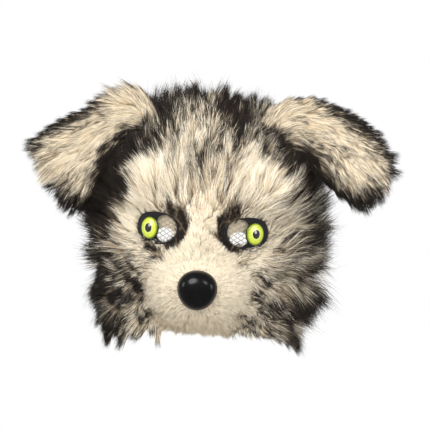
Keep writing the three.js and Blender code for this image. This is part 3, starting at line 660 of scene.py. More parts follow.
def addCloths():
    muzzle = swellings["muzzle"]
    across, up, forwards = np.array([1.0, 0, 0]), np.array([0, 0, 1.0]), np.array([0, -1.0, 0])
    seam = {"centre": np.array([0, 0, muzzle["z"]]), "across": across, "up": up, "out": forwards}
    for name, row in furCloths.items():
        made = shell(name, cloth["gap"], clothTop)
        wide, high = (muzzle[key] + cloth["muzzleSeam"] + row["grow"] for key in ("halfWidth", "halfHeight"))
        prism = ellipsePrism("seam", seam, wide, high, form["faceDepth"] / 3, cloth["seamReach"])
        cut(made, prism, row["operation"])
        if row["node"] == "head_fur":
            for flat in eyes.values():
                bore(made, flat, eye["halfWidth"] + cloth["gap"], eye["halfHeight"] + cloth["gap"])
        finished(smooth(made, form["sharpAngle"]), backingCloth, row["slot"], row["node"])


addForm()
addCloths()
print("form and cloth made")
# Fur: one tree of nodes grows strands on a skin, which carries their direction, length, lift and tone

strandStations = {  # how far along, and how wide there
    "long": [(0, 1.0), (0.36, 0.92), (0.72, 0.6), (1, 0)],
    "short": [(0, 1.0), (0.55, 0.75), (1, 0)],
}


def setAttribute(mesh, name, values):
    values = np.asarray(values, np.float32)
    kind, prop = ("FLOAT_VECTOR", "vector") if values.ndim == 2 else ("FLOAT", "value")
    mesh.attributes.new(name, kind, "POINT").data.foreach_set(prop, values.ravel())


def strandShape(name, stations):
    # a ribbon that narrows to a point, laid out up z with its half width along x
    points, sides = [], []
    for along, width in stations:
        for side in ((-1, 1) if width else (0,)):
            points.append((side * width * mm, 0, along * mm))
            sides.append(side * width)
    last = 2 * len(stations) - 2
    faces = [(i, i + 1, i + 3, i + 2) for i in range(0, last - 2, 2)]
    made = meshObject(name, points, faces + [(last - 2, last - 1, last)], row=False)
    setAttribute(made.data, "strandAlong", [p[2] / mm for p in points])
    setAttribute(made.data, "strandSide", sides)
    made.hide_render = True
    return made


class TreeBoard(Board):
    # a Geometry Nodes tree with named inputs, which reads and stores attributes
    def __init__(self, name, inputs):
        super().__init__(bpy.data.node_groups.new(name, "GeometryNodeTree"))
        for inputName, kind in inputs.items():
            self.tree.interface.new_socket(name=inputName, in_out="INPUT", socket_type="NodeSocket" + kind)
        self.start = self.node("NodeGroupInput")

    def given(self, name):
        return self.start.of(name)

    def read(self, name, kind="FLOAT"):
        found = self.node("GeometryNodeInputNamedAttribute", {"data_type": kind}, {"Name": name})
        return found.of("Attribute")

    def store(self, geometry, name, kind, value, domain="POINT"):
        return self.node("GeometryNodeStoreNamedAttribute", {"data_type": kind, "domain": domain}, {
            "Geometry": geometry, "Name": name, "Value": value})

    def chance(self, name, index):
        low, high, seed = chances[name]
        return self.node("FunctionNodeRandomValue", {"data_type": "FLOAT"}, {
            "Min": low, "Max": high, "ID": index, "Seed": seed})

    def finish(self, geometry, output):
        # ends as plain geometry with its material
        self.tree.interface.new_socket(name=output, in_out="OUTPUT", socket_type="NodeSocketGeometry")
        plainGeometry = self.node("GeometryNodeRealizeInstances", {}, {"Geometry": geometry})
        done = self.node("GeometryNodeSetMaterial", {}, {
            "Geometry": plainGeometry, "Material": self.given("Material")})
        self.node("NodeGroupOutput", {}, {output: done})
        return self.tree


def runTree(made, tree, values):
    # sets the inputs by their identifiers, and makes the result the object's own mesh
    modifier = made.modifiers.new("nodes", "NODES")
    modifier.node_group = tree
    for socket in tree.interface.items_tree:
        if socket.in_out == "INPUT" and socket.name in values:
            modifier[socket.identifier] = values[socket.name]
    return plain(made)


furInputs = {
    "Skin": "Geometry", "Strand": "Object", "Material": "Material", "Density": "Float",
    "Clump Density": "Float", "Half Width": "Float", "Yaw": "Float", "Bend": "Float", "Droop": "Float",
    "Wave": "Float", "Clumping": "Float", "Tone Spread": "Float", "Guard Share": "Float", "Ragged": "Float",
    "Seed": "Int",
}
chances = {  # the least, the most and the seed of each random value
    "guard": (0.0, 1.0, 1), "clump yaw": (-0.9, 0.9, 2), "own yaw": (-0.42, 0.42, 3),
    "clump lift": (-0.22, 0.26, 4), "own lift": (-0.09, 0.09, 5), "clump length": (-0.38, 0.18, 6),
    "own length": (-0.24, 0.04, 7), "wave start": (0.0, 6.28, 8), "roll": (-1.3, 1.3, 9),
    "own tone": (-0.4, 0.4, 12), "warm": (0.0, 1.0, 13), "gather": (0.6, 1.05, 14),
    "clump tone": (-0.2, 0.2, 15),
}
growth = {
    "fullPile": 0.024, "leastFull": 0.25,  # from this many metres on the fur lies in full locks
    "clumpSeed": 11,
    "driftScale": 38, "drift": 5.0, "swellScale": 50, "swell": 0.55, "leastLift": 0.62, "guardLift": 0.25,
    "curl": 0.5, "guardLonger": 0.13, "waveLength": 4.2, "gatherPower": 1.2, "guardThinner": 0.35,
    "streaks": 2.8, "guardDarker": 0.35, "palest": 0.02, "darkest": 0.92, "mapWidth": 0.002, "mapMargin": 0.01,
}


def furRoots(board):
    # scatters the roots, each of which knows its place, its clump and the way to the clump
    def scatter(density, seed):
        return board.node("GeometryNodeDistributePointsOnFaces", {"distribute_method": "RANDOM"}, {
            "Mesh": board.given("Skin"), "Density": density, "Seed": seed})

    place = board.node("GeometryNodeInputPosition")
    roots = scatter(board.given("Density") * board.read("furDensity"), board.given("Seed"))
    clumps = scatter(board.given("Clump Density"), growth["clumpSeed"])
    nearest = board.node("GeometryNodeSampleNearest", {"domain": "POINT"}, {
        "Geometry": clumps, "Sample Position": place})
    clumpRoot = board.node("GeometryNodeSampleIndex", {"data_type": "FLOAT_VECTOR", "domain": "POINT"}, {
        "Geometry": clumps, "Value": place, "Index": nearest})
    roots = board.store(roots, "furRoot", "FLOAT_VECTOR", place)
    roots = board.store(roots, "furPull", "FLOAT_VECTOR", clumpRoot - place)
    roots = board.store(roots, "furClump", "INT", nearest)
    return board.store(roots, "furStrand", "INT", board.node("GeometryNodeInputIndex"))


def furTree():
    board = TreeBoard("growFur", furInputs)
    given, read, chance = board.given, board.read, board.chance
    strand = board.node("GeometryNodeObjectInfo", {"transform_space": "ORIGINAL"}, {
        "Object": given("Strand")})
    placed = board.node("GeometryNodeInstanceOnPoints", {}, {
        "Points": furRoots(board), "Instance": strand.of("Geometry")})
    fur = board.node("GeometryNodeRealizeInstances", {}, {"Geometry": placed})

    along, side = read("strandAlong"), read("strandSide")
    root = read("furRoot", "FLOAT_VECTOR")
    clump, own = read("furClump", "INT"), read("furStrand", "INT")
    comb = board.calculate("NORMALIZE", read("comb", "FLOAT_VECTOR"))
    rise = board.calculate("NORMALIZE", read("rise", "FLOAT_VECTOR"))
    across = board.calculate("CROSS_PRODUCT", rise, comb)
    guard = board.calculate("LESS_THAN", chance("guard", own), given("Guard Share"))

    # which way it lies, over the skin and out of it
    drift = (board.noise(root, growth["driftScale"], 1) - 0.5) * growth["drift"]
    yaw = given("Yaw") * (drift + chance("clump yaw", clump) + chance("own yaw", own))
    flat = board.turned(comb, across, yaw)
    sideways = across * board.calculate("COSINE", yaw) - comb * board.calculate("SINE", yaw)
    swell = board.noise(root + (3.0, 1.0, 2.0), growth["swellScale"], 1) * growth["swell"]
    steep = growth["leastLift"] + swell + chance("clump lift", clump) + chance("own lift", own)
    steep = steep + guard * growth["guardLift"]
    angle = read("lift") * steep * (1 - given("Bend") * along * growth["curl"])

    # how long it is, and how it bends on the way to its tip
    uneven = chance("clump length", clump) + chance("own length", own) + guard * growth["guardLonger"]
    length = read("pile") * (1 + uneven * given("Ragged"))
    wave = board.calculate("SINE", along * growth["waveLength"] + chance("wave start", clump))
    sweep = wave * along * given("Wave") * length
    down = given("Droop") * along * along * length
    reach = along * length
    centre = root + flat * (board.calculate("COSINE", angle) * reach)
    centre = centre + rise * (board.calculate("SINE", angle) * reach)
    full = board.clamp(read("pile") / growth["fullPile"], growth["leastFull"], 1.0)
    gather = given("Clumping") * full * chance("gather", own) * along ** growth["gatherPower"]
    centre = centre + sideways * sweep - (0.0, 0.0, 1.0) * down + read("furPull", "FLOAT_VECTOR") * gather
    blade = board.turned(sideways, rise, chance("roll", own))
    width = side * given("Half Width") * (0.5 + full * 0.5) * (1 - guard * growth["guardThinner"])
    fur = board.node("GeometryNodeSetPosition", {}, {"Geometry": fur, "Position": centre + blade * width})

    # how dark and how warm it is, kept in its map
    spread = read("spread")
    streaks = board.noise(read("streak", "FLOAT_VECTOR"), 1.0, 2, 0.6) - 0.5
    mottle = streaks * growth["streaks"] + chance("clump tone", clump) + chance("own tone", own)
    tone = read("tone") + given("Tone Spread") * spread * mottle + guard * spread * growth["guardDarker"]
    tone = board.clamp(tone, growth["palest"], growth["darkest"])
    warm = board.calculate("LESS_THAN", chance("warm", own), read("warmth"))
    margin = growth["mapMargin"]
    look = board.node("ShaderNodeCombineXYZ", {}, {
        "X": (warm + tone) * 0.5 + side * growth["mapWidth"], "Y": along * (1 - 2 * margin) + margin})
    return board.finish(board.store(fur, "OFBake", "FLOAT2", look, "CORNER"), "Fur")


toneLook = {  # dark strands are black from nearer the root, and dim under it
    "edge": 1.22, "edgeMoves": 1.05, "edgeSoft": 0.14, "mostBlack": 0.97, "mostDim": 0.85,
    "dim": colour(140, 126, 114), "black": colour(38, 32, 29), "deepBlack": colour(17, 13, 12),
}


def furFinish(board, cool, warm):
    # OFBake holds what a strand looks like: across it are tone and warmth, and up it the way to the tip
    toneAndWarmth, along, _ = board.parts(board.mapped("OFBake"))
    isWarm = board.calculate("GREATER_THAN", toneAndWarmth, 0.5)
    tone = toneAndWarmth * 2 - isWarm
    ramps = [
        # the dark root colour is painted shade deep in the pile
        board.ramp([(0.0, colour(*root)), (0.35, colour(*body)), (1.0, colour(*tip))], along)
        for root, body, tip in (cool, warm)
    ]
    pale = board.mix(isWarm, *ramps)
    edge = toneLook["edge"] - tone * toneLook["edgeMoves"]
    soft = toneLook["edgeSoft"]
    blackened = board.between(along, edge - soft, edge + soft, 0.0, toneLook["mostBlack"])
    dimmed = board.between(tone, 0.25, 0.75, 0.0, toneLook["mostDim"])
    dim = board.mix(dimmed, pale, board.mix(1.0, pale, toneLook["dim"], "MULTIPLY"))
    # the deepest black, on the highest tones, is painted shade where the ears shade the head, and dark fur
    # elsewhere
    deep = board.mix(board.between(tone, 0.7, 0.92), toneLook["black"], toneLook["deepBlack"])
    return {"Base Color": board.mix(blackened, dim, deep)}


# the dark root colours are painted shade deep in the pile
piles = {  # the colours seen at the root, in the body and at the tip of a cool and of a warm strand
    "wolfPile": (((112, 98, 80), (233, 223, 201), (250, 243, 227)),
                 ((96, 78, 58), (204, 184, 152), (224, 208, 180))),
    "earPile": (((110, 94, 74), (234, 220, 194), (248, 239, 219)),
                ((104, 84, 60), (214, 193, 158), (230, 214, 186))),
    "muzzlePile": (((172, 156, 130), (229, 218, 195), (241, 233, 215)),
                   ((150, 128, 100), (213, 195, 164), (228, 213, 186))),
}
furSheen = {"Roughness": 0.6, "Specular IOR Level": 0.12}
furMaterials = {name: newMaterial(name, furSheen, furFinish, *tones) for name, tones in piles.items()}

# strands is how many there are whatever the skin's size. Clump and width are in millimetres, yaw in degrees.
headHabit = {
    "pile": "wolfPile", "slot": "grey_pile", "node": "head_fur",
    "strand": "long", "width": 0.5, "bend": 0.6, "clumping": 0.9, "guards": 0.08,
}
cheekHabit = {
    **headHabit, "strands": 36000, "clump": 8.5, "yaw": 18, "droop": 0.14, "wave": 0.07,
    "toneSpread": 0.4, "ragged": 0.8,
}
earHabit = {
    "pile": "earPile", "slot": "ear_pile", "strand": "long", "strands": 24000, "clump": 6, "width": 0.5,
    "yaw": 11, "bend": 0.6, "droop": 0.08, "wave": 0.08, "clumping": 0.6, "toneSpread": 0.45, "guards": 0.1,
    "ragged": 0.6,
}
furAreas = {
    "forehead_fur": {
        **headHabit, "strands": 38000, "clump": 6.5, "yaw": 16, "droop": 0.06, "wave": 0.06,
        "toneSpread": 0.6, "ragged": 0.85, "seed": 3},
    "left_cheek_fur": {**cheekHabit, "seed": 5},
    "right_cheek_fur": {**cheekHabit, "seed": 6},
    "muzzle_pile": {
        "pile": "muzzlePile", "slot": "cream_pile", "node": "muzzle_fur", "strand": "short", "strands": 32000,
        "clump": 3, "width": 0.42, "yaw": 14, "bend": 0.7, "droop": 0.0, "wave": 0.04, "clumping": 0.35,
        "toneSpread": 0.16, "guards": 0.02, "ragged": 1, "seed": 7},
    "left_ear_fur": {**earHabit, "node": "left_ear", "seed": 21},
    "right_ear_fur": {**earHabit, "node": "right_ear", "seed": 22},
}

growFur = furTree()
strands = {name: strandShape(name + "Strand", stations) for name, stations in strandStations.items()}


def growOn(name, points, faces, fields):
    fur = furAreas[name]
    skin = meshObject(name, points, faces)
    for key, values in fields.items():
        setAttribute(skin.data, key, values)
    thinning = np.asarray(fields["furDensity"], float)
    areas = np.array([face.area for face in skin.data.polygons])
    shares = np.array([thinning[list(face.vertices)].mean() for face in skin.data.polygons])
    runTree(skin, growFur, {
        "Strand": strands[fur["strand"]], "Material": furMaterials[fur["pile"]],
        "Density": fur["strands"] / float((areas * shares).sum()),
        "Clump Density": 1 / (fur["clump"] * mm) ** 2, "Half Width": fur["width"] * mm / 2,
        "Yaw": math.radians(fur["yaw"]), "Bend": fur["bend"], "Droop": fur["droop"], "Wave": fur["wave"],
        "Clumping": fur["clumping"], "Tone Spread": fur["toneSpread"], "Guard Share": fur["guards"],
        "Ragged": fur["ragged"], "Seed": fur["seed"],
    })
    for key in [a.name for a in skin.data.attributes]:
        if key.startswith(("fur", "strand")) or key in fields:
            skin.data.attributes.remove(skin.data.attributes[key])
    finished(skin, None, fur["slot"], fur["node"])
    print(name, "has", len(skin.data.polygons), "faces")
# What the fur does over the head. Marks are dark or pale places in it: x, z, half length, half width, the
# lean of its length in degrees, and how dark.
marks = [
    # painted shadow with dark fur: the head's fur darkened where the left ear shades it
    ("shadow by the left ear", -74, 68, 42, 16, 68, 2.0),
    ("top tuft", -10, 131, 17, 9, 75, 0.9),
    ("left of the top", -37, 117, 15, 8, 59, 1.0),
    ("right of the top", 14, 122, 22, 8, -54, 1.0),
    ("forehead blot", -49, 93, 14, 7, -53, 0.45),
    ("left forehead streak", -28, 94, 16, 4, -65, 0.8),
    ("middle forehead streak", -4, 72, 17, 4, -76, 1.0),
    ("right forehead streak", 25, 101, 14, 4, 82, 1.0),
    ("forehead shade", 5, 98, 21, 6, 88, 0.25),
    ("left brow tuft", -29, 27, 6, 3, 16, 0.8),
    ("right brow tuft", 31, 30, 8, 3, 49, 0.7),
    ("right brow fleck", 17, 41, 5, 3, 63, 0.5),
    # painted shadow with dark fur: the head's fur darkened where the right ear shades it
    ("shadow by the right ear", 83, 74, 43, 12, -40, 1.8),
    ("right temple", 67, 68, 13, 7, -57, 0.35),
    ("left side, upper", -93, 16, 15, 8, -41, 0.6),
    ("left side", -97, 1, 15, 6, -25, 0.45),
    ("left side, middle", -93, -19, 17, 7, -9, 0.4),
    ("left cheek", -74, -36, 17, 7, -17, 0.45),
    ("left cheek spot", -56, -48, 11, 6, -51, 0.85),
    ("left cheek, low", -85, -54, 12, 7, -58, 0.4),
    ("left lower spot", -45, -72, 11, 5, -3, 0.8),
    ("left hem", -77, -89, 17, 9, 19, 0.55),
    ("left hem streak", -24, -79, 7, 3, -53, 0.4),
    ("under the left eye", -44, -14, 13, 4, -50, 1.0),
    # painted shade with dark fur: the marks beside the eyes darken the crease at the nose side of each opening
    ("beside the left eye", -23, 10, 13, 3, -54, 0.85),
    ("beside the left eye, low", -20, -6, 9, 3, 61, 0.45),
    ("bridge", 11, 5, 11, 3, -47, 1.0),
    ("beside the right eye", 27, 6, 11, 3, 60, 0.85),
    ("beside the right eye, low", 24, -7, 7, 3, -64, 0.45),
    ("under the right eye", 40, -16, 12, 4, 68, 0.45),
    ("right side, upper", 99, 35, 20, 8, -32, 0.8),
    ("right side", 100, 8, 19, 6, -19, 0.7),
    ("right cheek streak, upper", 74, -3, 14, 3, 34, 0.75),
    ("right side, middle", 110, -12, 13, 6, -12, 0.6),
    ("right cheek streak", 61, -31, 10, 3, -28, 0.55),
    ("right cheek arc", 53, -48, 13, 3, 49, 0.6),
    ("right cheek spot", 70, -55, 8, 4, -30, 0.6),
    ("right hem streak", 54, -67, 10, 3, -78, 0.8),
    ("right side, low", 109, -36, 15, 7, 22, 0.6),
    ("right lower side", 99, -61, 16, 7, -23, 0.5),
    ("mouth", -1, -75, 6, 2, -81, 0.8),
    ("lip", -11, -80, 5, 3, -4, 0.5),
    ("left lip line", -20, -68, 13, 2, 8, 0.9),
    ("right lip line", 38, -69, 12, 3, -20, 0.7),
    ("right hem line", 34, -79, 21, 2, 14, 0.4),
    ("left brow", -54, 51, 26, 20, 60, -0.7),
    ("right brow", 45, 58, 26, 18, -60, -0.65),
    ("forehead blaze", -17, 90, 24, 6, 80, -0.6),
    ("left cheekbone", -68, 17, 19, 12, 90, -0.6),
    ("right cheekbone", 73, 25, 18, 12, 0, -0.35),
    ("below the right eye", 55, -18, 14, 8, 0, -0.25),
]
tufts = [  # where the fur is longer or shorter: x, z, reach and millimetres more
    ("top", -8, 108, 20, 9), ("left of the top", -44, 104, 16, 7), ("right temple", 88, 48, 20, 16),
    ("left side", -88, 8, 38, 18), ("right side", 88, -34, 30, 18), ("left hem corner", -66, -84, 28, 2),
    ("left hem", -48, -84, 18, 12), ("left hem wisp", -31, -80, 5, 11), ("left side, low", -88, -60, 14, 6),
    ("right hem", 66, -84, 11, 10), ("right hem, inside", 44, -84, 9, -5),
    ("right side, low", 98, -60, 16, 8),
]
# Where each part of the fur begins and where it is all there, along one measure: the height over the eye
# line, the distance right of the middle or to either side, or how far past the muzzle's seam or an eye's
# edge.
zones = {
    "crown": ("height", 20, 80), "hairline": ("height", 84, 112), "below the eyes": ("height", 0, -60),
    "jaw": ("height", -30, -85), "near the hem": ("height", -50, -85), "hem": ("height", -55, -80),
    "cheek": ("side", 10, 60), "outer jaw": ("side", 40, 70), "hem inside": ("side", 15, 35),
    "hem corner": ("side", 45, 70), "right cheek": ("right", 40, 80), "flank": ("side", 50, 84),
    "outer cheek": ("side", 35, 60), "bridge sides": ("side", 26, 12), "bridge top": ("height", 45, 15),
    "past the seam": ("seam", 0.0, 1.0), "out of the seam": ("seam", 0.1, 1.3),
    "in the seam": ("seam", 0, -0.4), "left cheek, inner": ("right", -40, -60),
    "left cheek, outer": ("right", -84, -70), "left cheek, below": ("height", 5, -20),
    "warm middle": ("off middle", 30, 0), "warm height": ("height", -40, 40),
    "off the nose": ("from nose", 16, 42), "under the nose": ("height", -62, -80),
    "warm chin": ("height", -52, -78),
    "by the eye": ("near", 1.2, 0), "clear of the eye": ("near", -0.05, 0.02), "lid": ("near", 0.55, 0.25),
    "nose side of the eye": ("medial", 0.2, 0.8),
}
coat = {  # pile in millimetres and lift in degrees
    "seamPile": 12, "rimPile": 43, "crownSeamPile": 20, "crownPile": 36, "rightExtra": 9, "hemShorter": 0.35,
    "eyePile": 7, "bridgePile": 9,
    "seamLift": 18, "rimLift": 58, "crownSeamLift": 24, "crownLift": 74, "eyeLift": 18,
    "noseZ": -42, "forwards": 0.35, "backFrom": -100, "backTo": 5, "splitHeight": 24, "tipShare": 0.7,
    "cheekDown": 0.4, "jawOut": 0.5, "hemDown": 0.55, "cornerOut": 0.8, "eyeThicker": 0.7, "eyeMargin": 1.0,
    "streakAround": 20, "streakLength": 30, "warmMiddle": 5,
}
tones = {  # added to the base, where they are all there
    "base": 0.3, "crown": 0.1, "hairline": 0.24, "flank": 0.17, "outerCheek": 0.12, "leftCheek": 0.08,
    "eyeRimDarkAndShade": 0.85, "bridge": -0.22, "mark": 0.5, "warmth": 0.3, "warmer": 0.25, "bridgeSpread": -0.35,
    "leastSpread": 0.25,
}
muzzleCoat = {
    "pile": 5.5, "outerLonger": 4.5, "chinLonger": 6, "lift": 30, "outerFlatter": 8, "forwards": 30,
    "paler": 0.26, "warmth": 0.15, "chinWarmer": 0.5,
}


def soften(value, low, high):
    share = np.clip((value - low) / (high - low), 0, 1)
    return share * share * (3 - 2 * share)


def zone(name, measures):
    along, start, full = zones[name]
    return soften(measures[along], start, full)


def measured(points):
    x, height = points[:, 0], points[:, 2]
    return {
        "right": x, "side": np.abs(x), "height": height, "seam": pastMuzzleSeam(points),
        "off middle": np.abs(x - coat["warmMiddle"]), "from nose": np.hypot(x, height - coat["noseZ"]),
    }


def eyeMeasured(points, flat):
    medial = -(points - flat["centre"]) @ flat["across"] / eye["halfWidth"]
    return {"near": inEye(points, flat, coat["eyeMargin"]), "medial": medial}


def blobOf(points, x, z, halfLong, halfShort, lean, fall=1.2):
    turn = math.radians(lean)
    dx, dz = points[:, 0] - x, points[:, 2] - z
    a, b = dx * math.cos(turn) + dz * math.sin(turn), dz * math.cos(turn) - dx * math.sin(turn)
    return np.exp(-((a / halfLong) ** 2 + (b / halfShort) ** 2) * fall)


def combed(points, out, at):
    # away from the nose, down over the cheeks and out over the jaw
    fromNose = points - np.array([0, points[:, 1].min(), coat["noseZ"]])
    fromNose[:, 1] *= coat["forwards"]
    jaw = zone("jaw", at)
    comb = unit(fromNose)
    comb[:, 2] -= coat["cheekDown"] * zone("below the eyes", at) * zone("cheek", at) * (1 - jaw)
    comb[:, 0] += coat["jawOut"] * jaw * np.sign(points[:, 0]) * zone("outer jaw", at)
    comb[:, 2] -= (coat["hemDown"] * zone("hem", at) * zone("hem inside", at)
                   * (1 - coat["cornerOut"] * zone("hem corner", at)))
    return laidAlong(comb, out)


def pileAndLift(points, at, bridge):
    # longer and steeper from the seam to the rim, and short and close round the eyes
    crown = zone("crown", at)
    back = np.clip((points[:, 1] - coat["backFrom"]) / (coat["backTo"] - coat["backFrom"]), 0, 1)
    pile = coat["seamPile"] + (coat["rimPile"] - coat["seamPile"]) * zone("past the seam", at)
    onCrown = coat["crownSeamPile"] + (coat["crownPile"] - coat["crownSeamPile"]) * back
    pile = pile * (1 - crown) + onCrown * crown
    pile += coat["rightExtra"] * zone("right cheek", at) * (1 - crown)
    pile *= 1 - coat["hemShorter"] * zone("near the hem", at)
    steeper = (coat["rimLift"] - coat["seamLift"]) * zone("out of the seam", at) * (0.3 + 0.7 * back)
    onCrown = coat["crownSeamLift"] + (coat["crownLift"] - coat["crownSeamLift"]) * back
    lift = (coat["seamLift"] + steeper) * (1 - crown) + onCrown * crown
    for _, x, z, reach, longer in tufts:
        pile += longer * blobOf(points, x, z, reach, reach, 0)
    pile = pile * (1 - bridge) + coat["bridgePile"] * bridge
    for flat in eyes.values():
        close = zone("by the eye", eyeMeasured(points, flat))
        pile = pile * (1 - close) + coat["eyePile"] * close
        lift = lift * (1 - close) + coat["eyeLift"] * close
    return pile, lift


def densityAndEyeRimShade(points):
    density, eyeRimDarkAndShade = np.ones(len(points)), np.zeros(len(points))
    for flat in eyes.values():
        at = eyeMeasured(points, flat)
        density *= zone("clear of the eye", at)
        density *= 1 + coat["eyeThicker"] * zone("by the eye", at)
        # painted shade with dark fur: strands darkened round the nose side of each eye, where the fur dips
        # into the opening
        eyeRimDarkAndShade += zone("nose side of the eye", at) * zone("lid", at)
    return density, eyeRimDarkAndShade


def toneAndSpread(tips, at, eyeRimDarkAndShade, bridge):
    # marks lie where the strands' tips are
    crown = zone("crown", at)
    tone = tones["base"] + tones["crown"] * crown + tones["hairline"] * zone("hairline", at)
    tone += tones["flank"] * (zone("flank", at) * (1 - crown))
    tone += tones["outerCheek"] * zone("below the eyes", at) * zone("outer cheek", at)
    leftCheek = zone("left cheek, inner", at) * zone("left cheek, outer", at) * zone("left cheek, below", at)
    tone += tones["leftCheek"] * leftCheek + tones["eyeRimDarkAndShade"] * eyeRimDarkAndShade + tones["bridge"] * bridge
    spread = 1 + tones["bridgeSpread"] * bridge
    for _, x, z, halfLong, halfShort, lean, strength in marks:
        blob = blobOf(tips, x, z, halfLong, halfShort, lean)
        tone += strength * tones["mark"] * blob
        spread -= max(-strength, 0) * blob
    return np.clip(tone, 0, 1), np.clip(spread, tones["leastSpread"], 1)


def headFields(points, out):
    at = measured(points)
    comb = combed(points, out, at)
    bridge = zone("bridge sides", at) * zone("bridge top", at)
    pile, lift = pileAndLift(points, at, bridge)
    density, eyeRimDarkAndShade = densityAndEyeRimShade(points)
    tone, spread = toneAndSpread(points + comb * (pile * coat["tipShare"])[:, None], at, eyeRimDarkAndShade, bridge)
    warmth = tones["warmth"] + tones["warmer"] * zone("warm middle", at) * zone("warm height", at)
    reach = at["from nose"]
    streak = np.stack([
        points[:, 0] / reach * coat["streakAround"],
        (points[:, 2] - coat["noseZ"]) / reach * coat["streakAround"],
        (reach + points[:, 1] * 0.5) / coat["streakLength"],
    ], -1)
    return {
        "comb": comb, "rise": out, "pile": pile * mm, "lift": np.radians(lift), "tone": tone,
        "furDensity": density, "warmth": np.clip(warmth, 0, 1), "streak": streak, "spread": spread,
    }


def muzzleFields(points, out, fields):
    # short fur that stands out round the nose and is longest under the chin
    at = measured(points)
    comb = points - np.array([0, 0, coat["noseZ"]])
    comb[:, 1] = muzzleCoat["forwards"]
    outer, chin = zone("off the nose", at), zone("under the nose", at)
    pile = muzzleCoat["pile"] + muzzleCoat["outerLonger"] * outer + muzzleCoat["chinLonger"] * chin
    return {
        **fields, "comb": laidAlong(comb, out), "pile": pile * mm,
        "lift": np.radians(muzzleCoat["lift"] - muzzleCoat["outerFlatter"] * outer),
        "tone": np.clip(fields["tone"] - muzzleCoat["paler"] * zone("in the seam", at), 0, 1),
        "warmth": muzzleCoat["warmth"] + muzzleCoat["chinWarmer"] * zone("warm chin", at),
    }


def addHeadFur():
    points = grid + gridOut * clothTop
    fields = headFields(points, gridOut)
    faces = gridFaces()
    centres = np.array([points[list(face)].mean(0) for face in faces])
    onMuzzle = pastMuzzleSeam(centres) < 0
    inOpening = np.minimum(*(inEye(centres, flat, 0.5) for flat in eyes.values())) < -0.15
    top, left = centres[:, 2] > coat["splitHeight"], centres[:, 0] < 0

    def grow(name, part, partFields):
        growOn(name, points, [face for face, inside in zip(faces, part) if inside], partFields)

    onHead = ~onMuzzle & ~inOpening
    grow("forehead_fur", onHead & top, fields)
    grow("left_cheek_fur", onHead & ~top & left, fields)
    grow("right_cheek_fur", onHead & ~top & ~left, fields)
    grow("muzzle_pile", onMuzzle, muzzleFields(points, gridOut, fields))


addHeadFur()
print("head fur grown")


# The ears: each pad hangs between an upper and a lower edge, given as shares of its reach

earShape = {"thickness": 8, "cup": 6, "rings": 40, "sides": 40}
earRows = {
    "left": {
        "side": -1, "spacing": 50, "rootY": -24, "reach": 106, "forward": 22,
        "base": 0.09, "endTone": 0.05, "streaky": 1.0,
        "highEnd": 5, "lowEnd": 1, "rootWisps": 13, "closeEdge": 3,
        "upper": [(-0.1, -0.04), (0.1, 0.6), (0.55, 0.05), (1, -0.08)],
        "lower": [(0.07, -0.16), (0.2, 0), (0.38, -0.42), (0.6, -0.71)],
    },
    "right": {
        "side": 1, "spacing": 48, "rootY": -24, "reach": 113, "forward": 18,
        "base": 0.18, "endTone": 0.15, "streaky": 0.3,
        "highEnd": -1, "lowEnd": 0, "rootWisps": -2, "closeEdge": 5,
        "upper": [(-0.1, -0.04), (0.06, 0.48), (0.72, 0.34), (1.03, -0.13)],
        "lower": [(0.07, -0.16), (0.2, 0.02), (0.54, -0.38), (0.86, -0.5)],
    },
}
earSections = {
    "along": [0, 0.5, 0.68, 0.84, 0.95, 1],
    "width": [1, 1, 1, 0.97, 0.8, 0.5],
    "thick": [1, 1, 0.95, 0.85, 0.65, 0.35],
}
earCoat = {
    "pile": 20, "edgePile": 22, "rootShare": 0.7, "lift": 18, "edgeLift": 6, "warmth": 0.4,
    "backDensity": 0.45, "bareTo": 1.0, "fullFrom": 5.0,  # bare where the ear is sunk in the head
    "fan": 0.35, "edgeFan": 0.6, "laidShare": 0.7,
    "streaksAcross": 13, "streaksSlant": 3, "streaksThrough": 2, "streaksAlong": 4,
}
earTones = {"upper": 0.15, "upperFar": 0.45, "lower": 0.6, "lowerNear": 0.5, "back": 0.3, "lowEnd": 0.45}
zones.update({  # height is over the pad's middle, sideways is towards the upper edge and share along the ear
    "front": ("height", -0.1, 0.4), "upper edge": ("sideways", 0.45, 0.95),
    "lower edge": ("sideways", -0.45, -0.9),
    "far half": ("share", 0.35, 0.6), "past the root": ("share", 0.08, 0.2), "end": ("share", 0.75, 1.0),
    "outer part": ("share", 0.45, 0.8), "low end": ("sideways", 0.3, -0.4),
    "low streaks": ("sideways", 0.2, -0.5), "off the root": ("share", 0, 0.25),
})


def bezier(points, t):
    a, b, c, d = (np.array(p, float) for p in points)
    t = np.asarray(t, float)[..., None]
    return a * (1 - t) ** 3 + 3 * b * t * (1 - t) ** 2 + 3 * c * t * t * (1 - t) + d * t ** 3


def earEdges(ear):
    x, y = ear["side"] * ear["spacing"], float(ear["rootY"])

    def overHead(h):
        return faceDistance(np.stack([np.full(h.shape, float(x)), np.full(h.shape, y), h], -1))

    root = np.array([x, y, float(cross(overHead, np.array(0.0), np.array(form["farReach"])))])
    return [
        [root + np.array([ear["side"] * out * ear["reach"], -max(out, 0) * ear["forward"], up * ear["reach"]])
         for out, up in ear[edge]]
        for edge in ("upper", "lower")
    ]


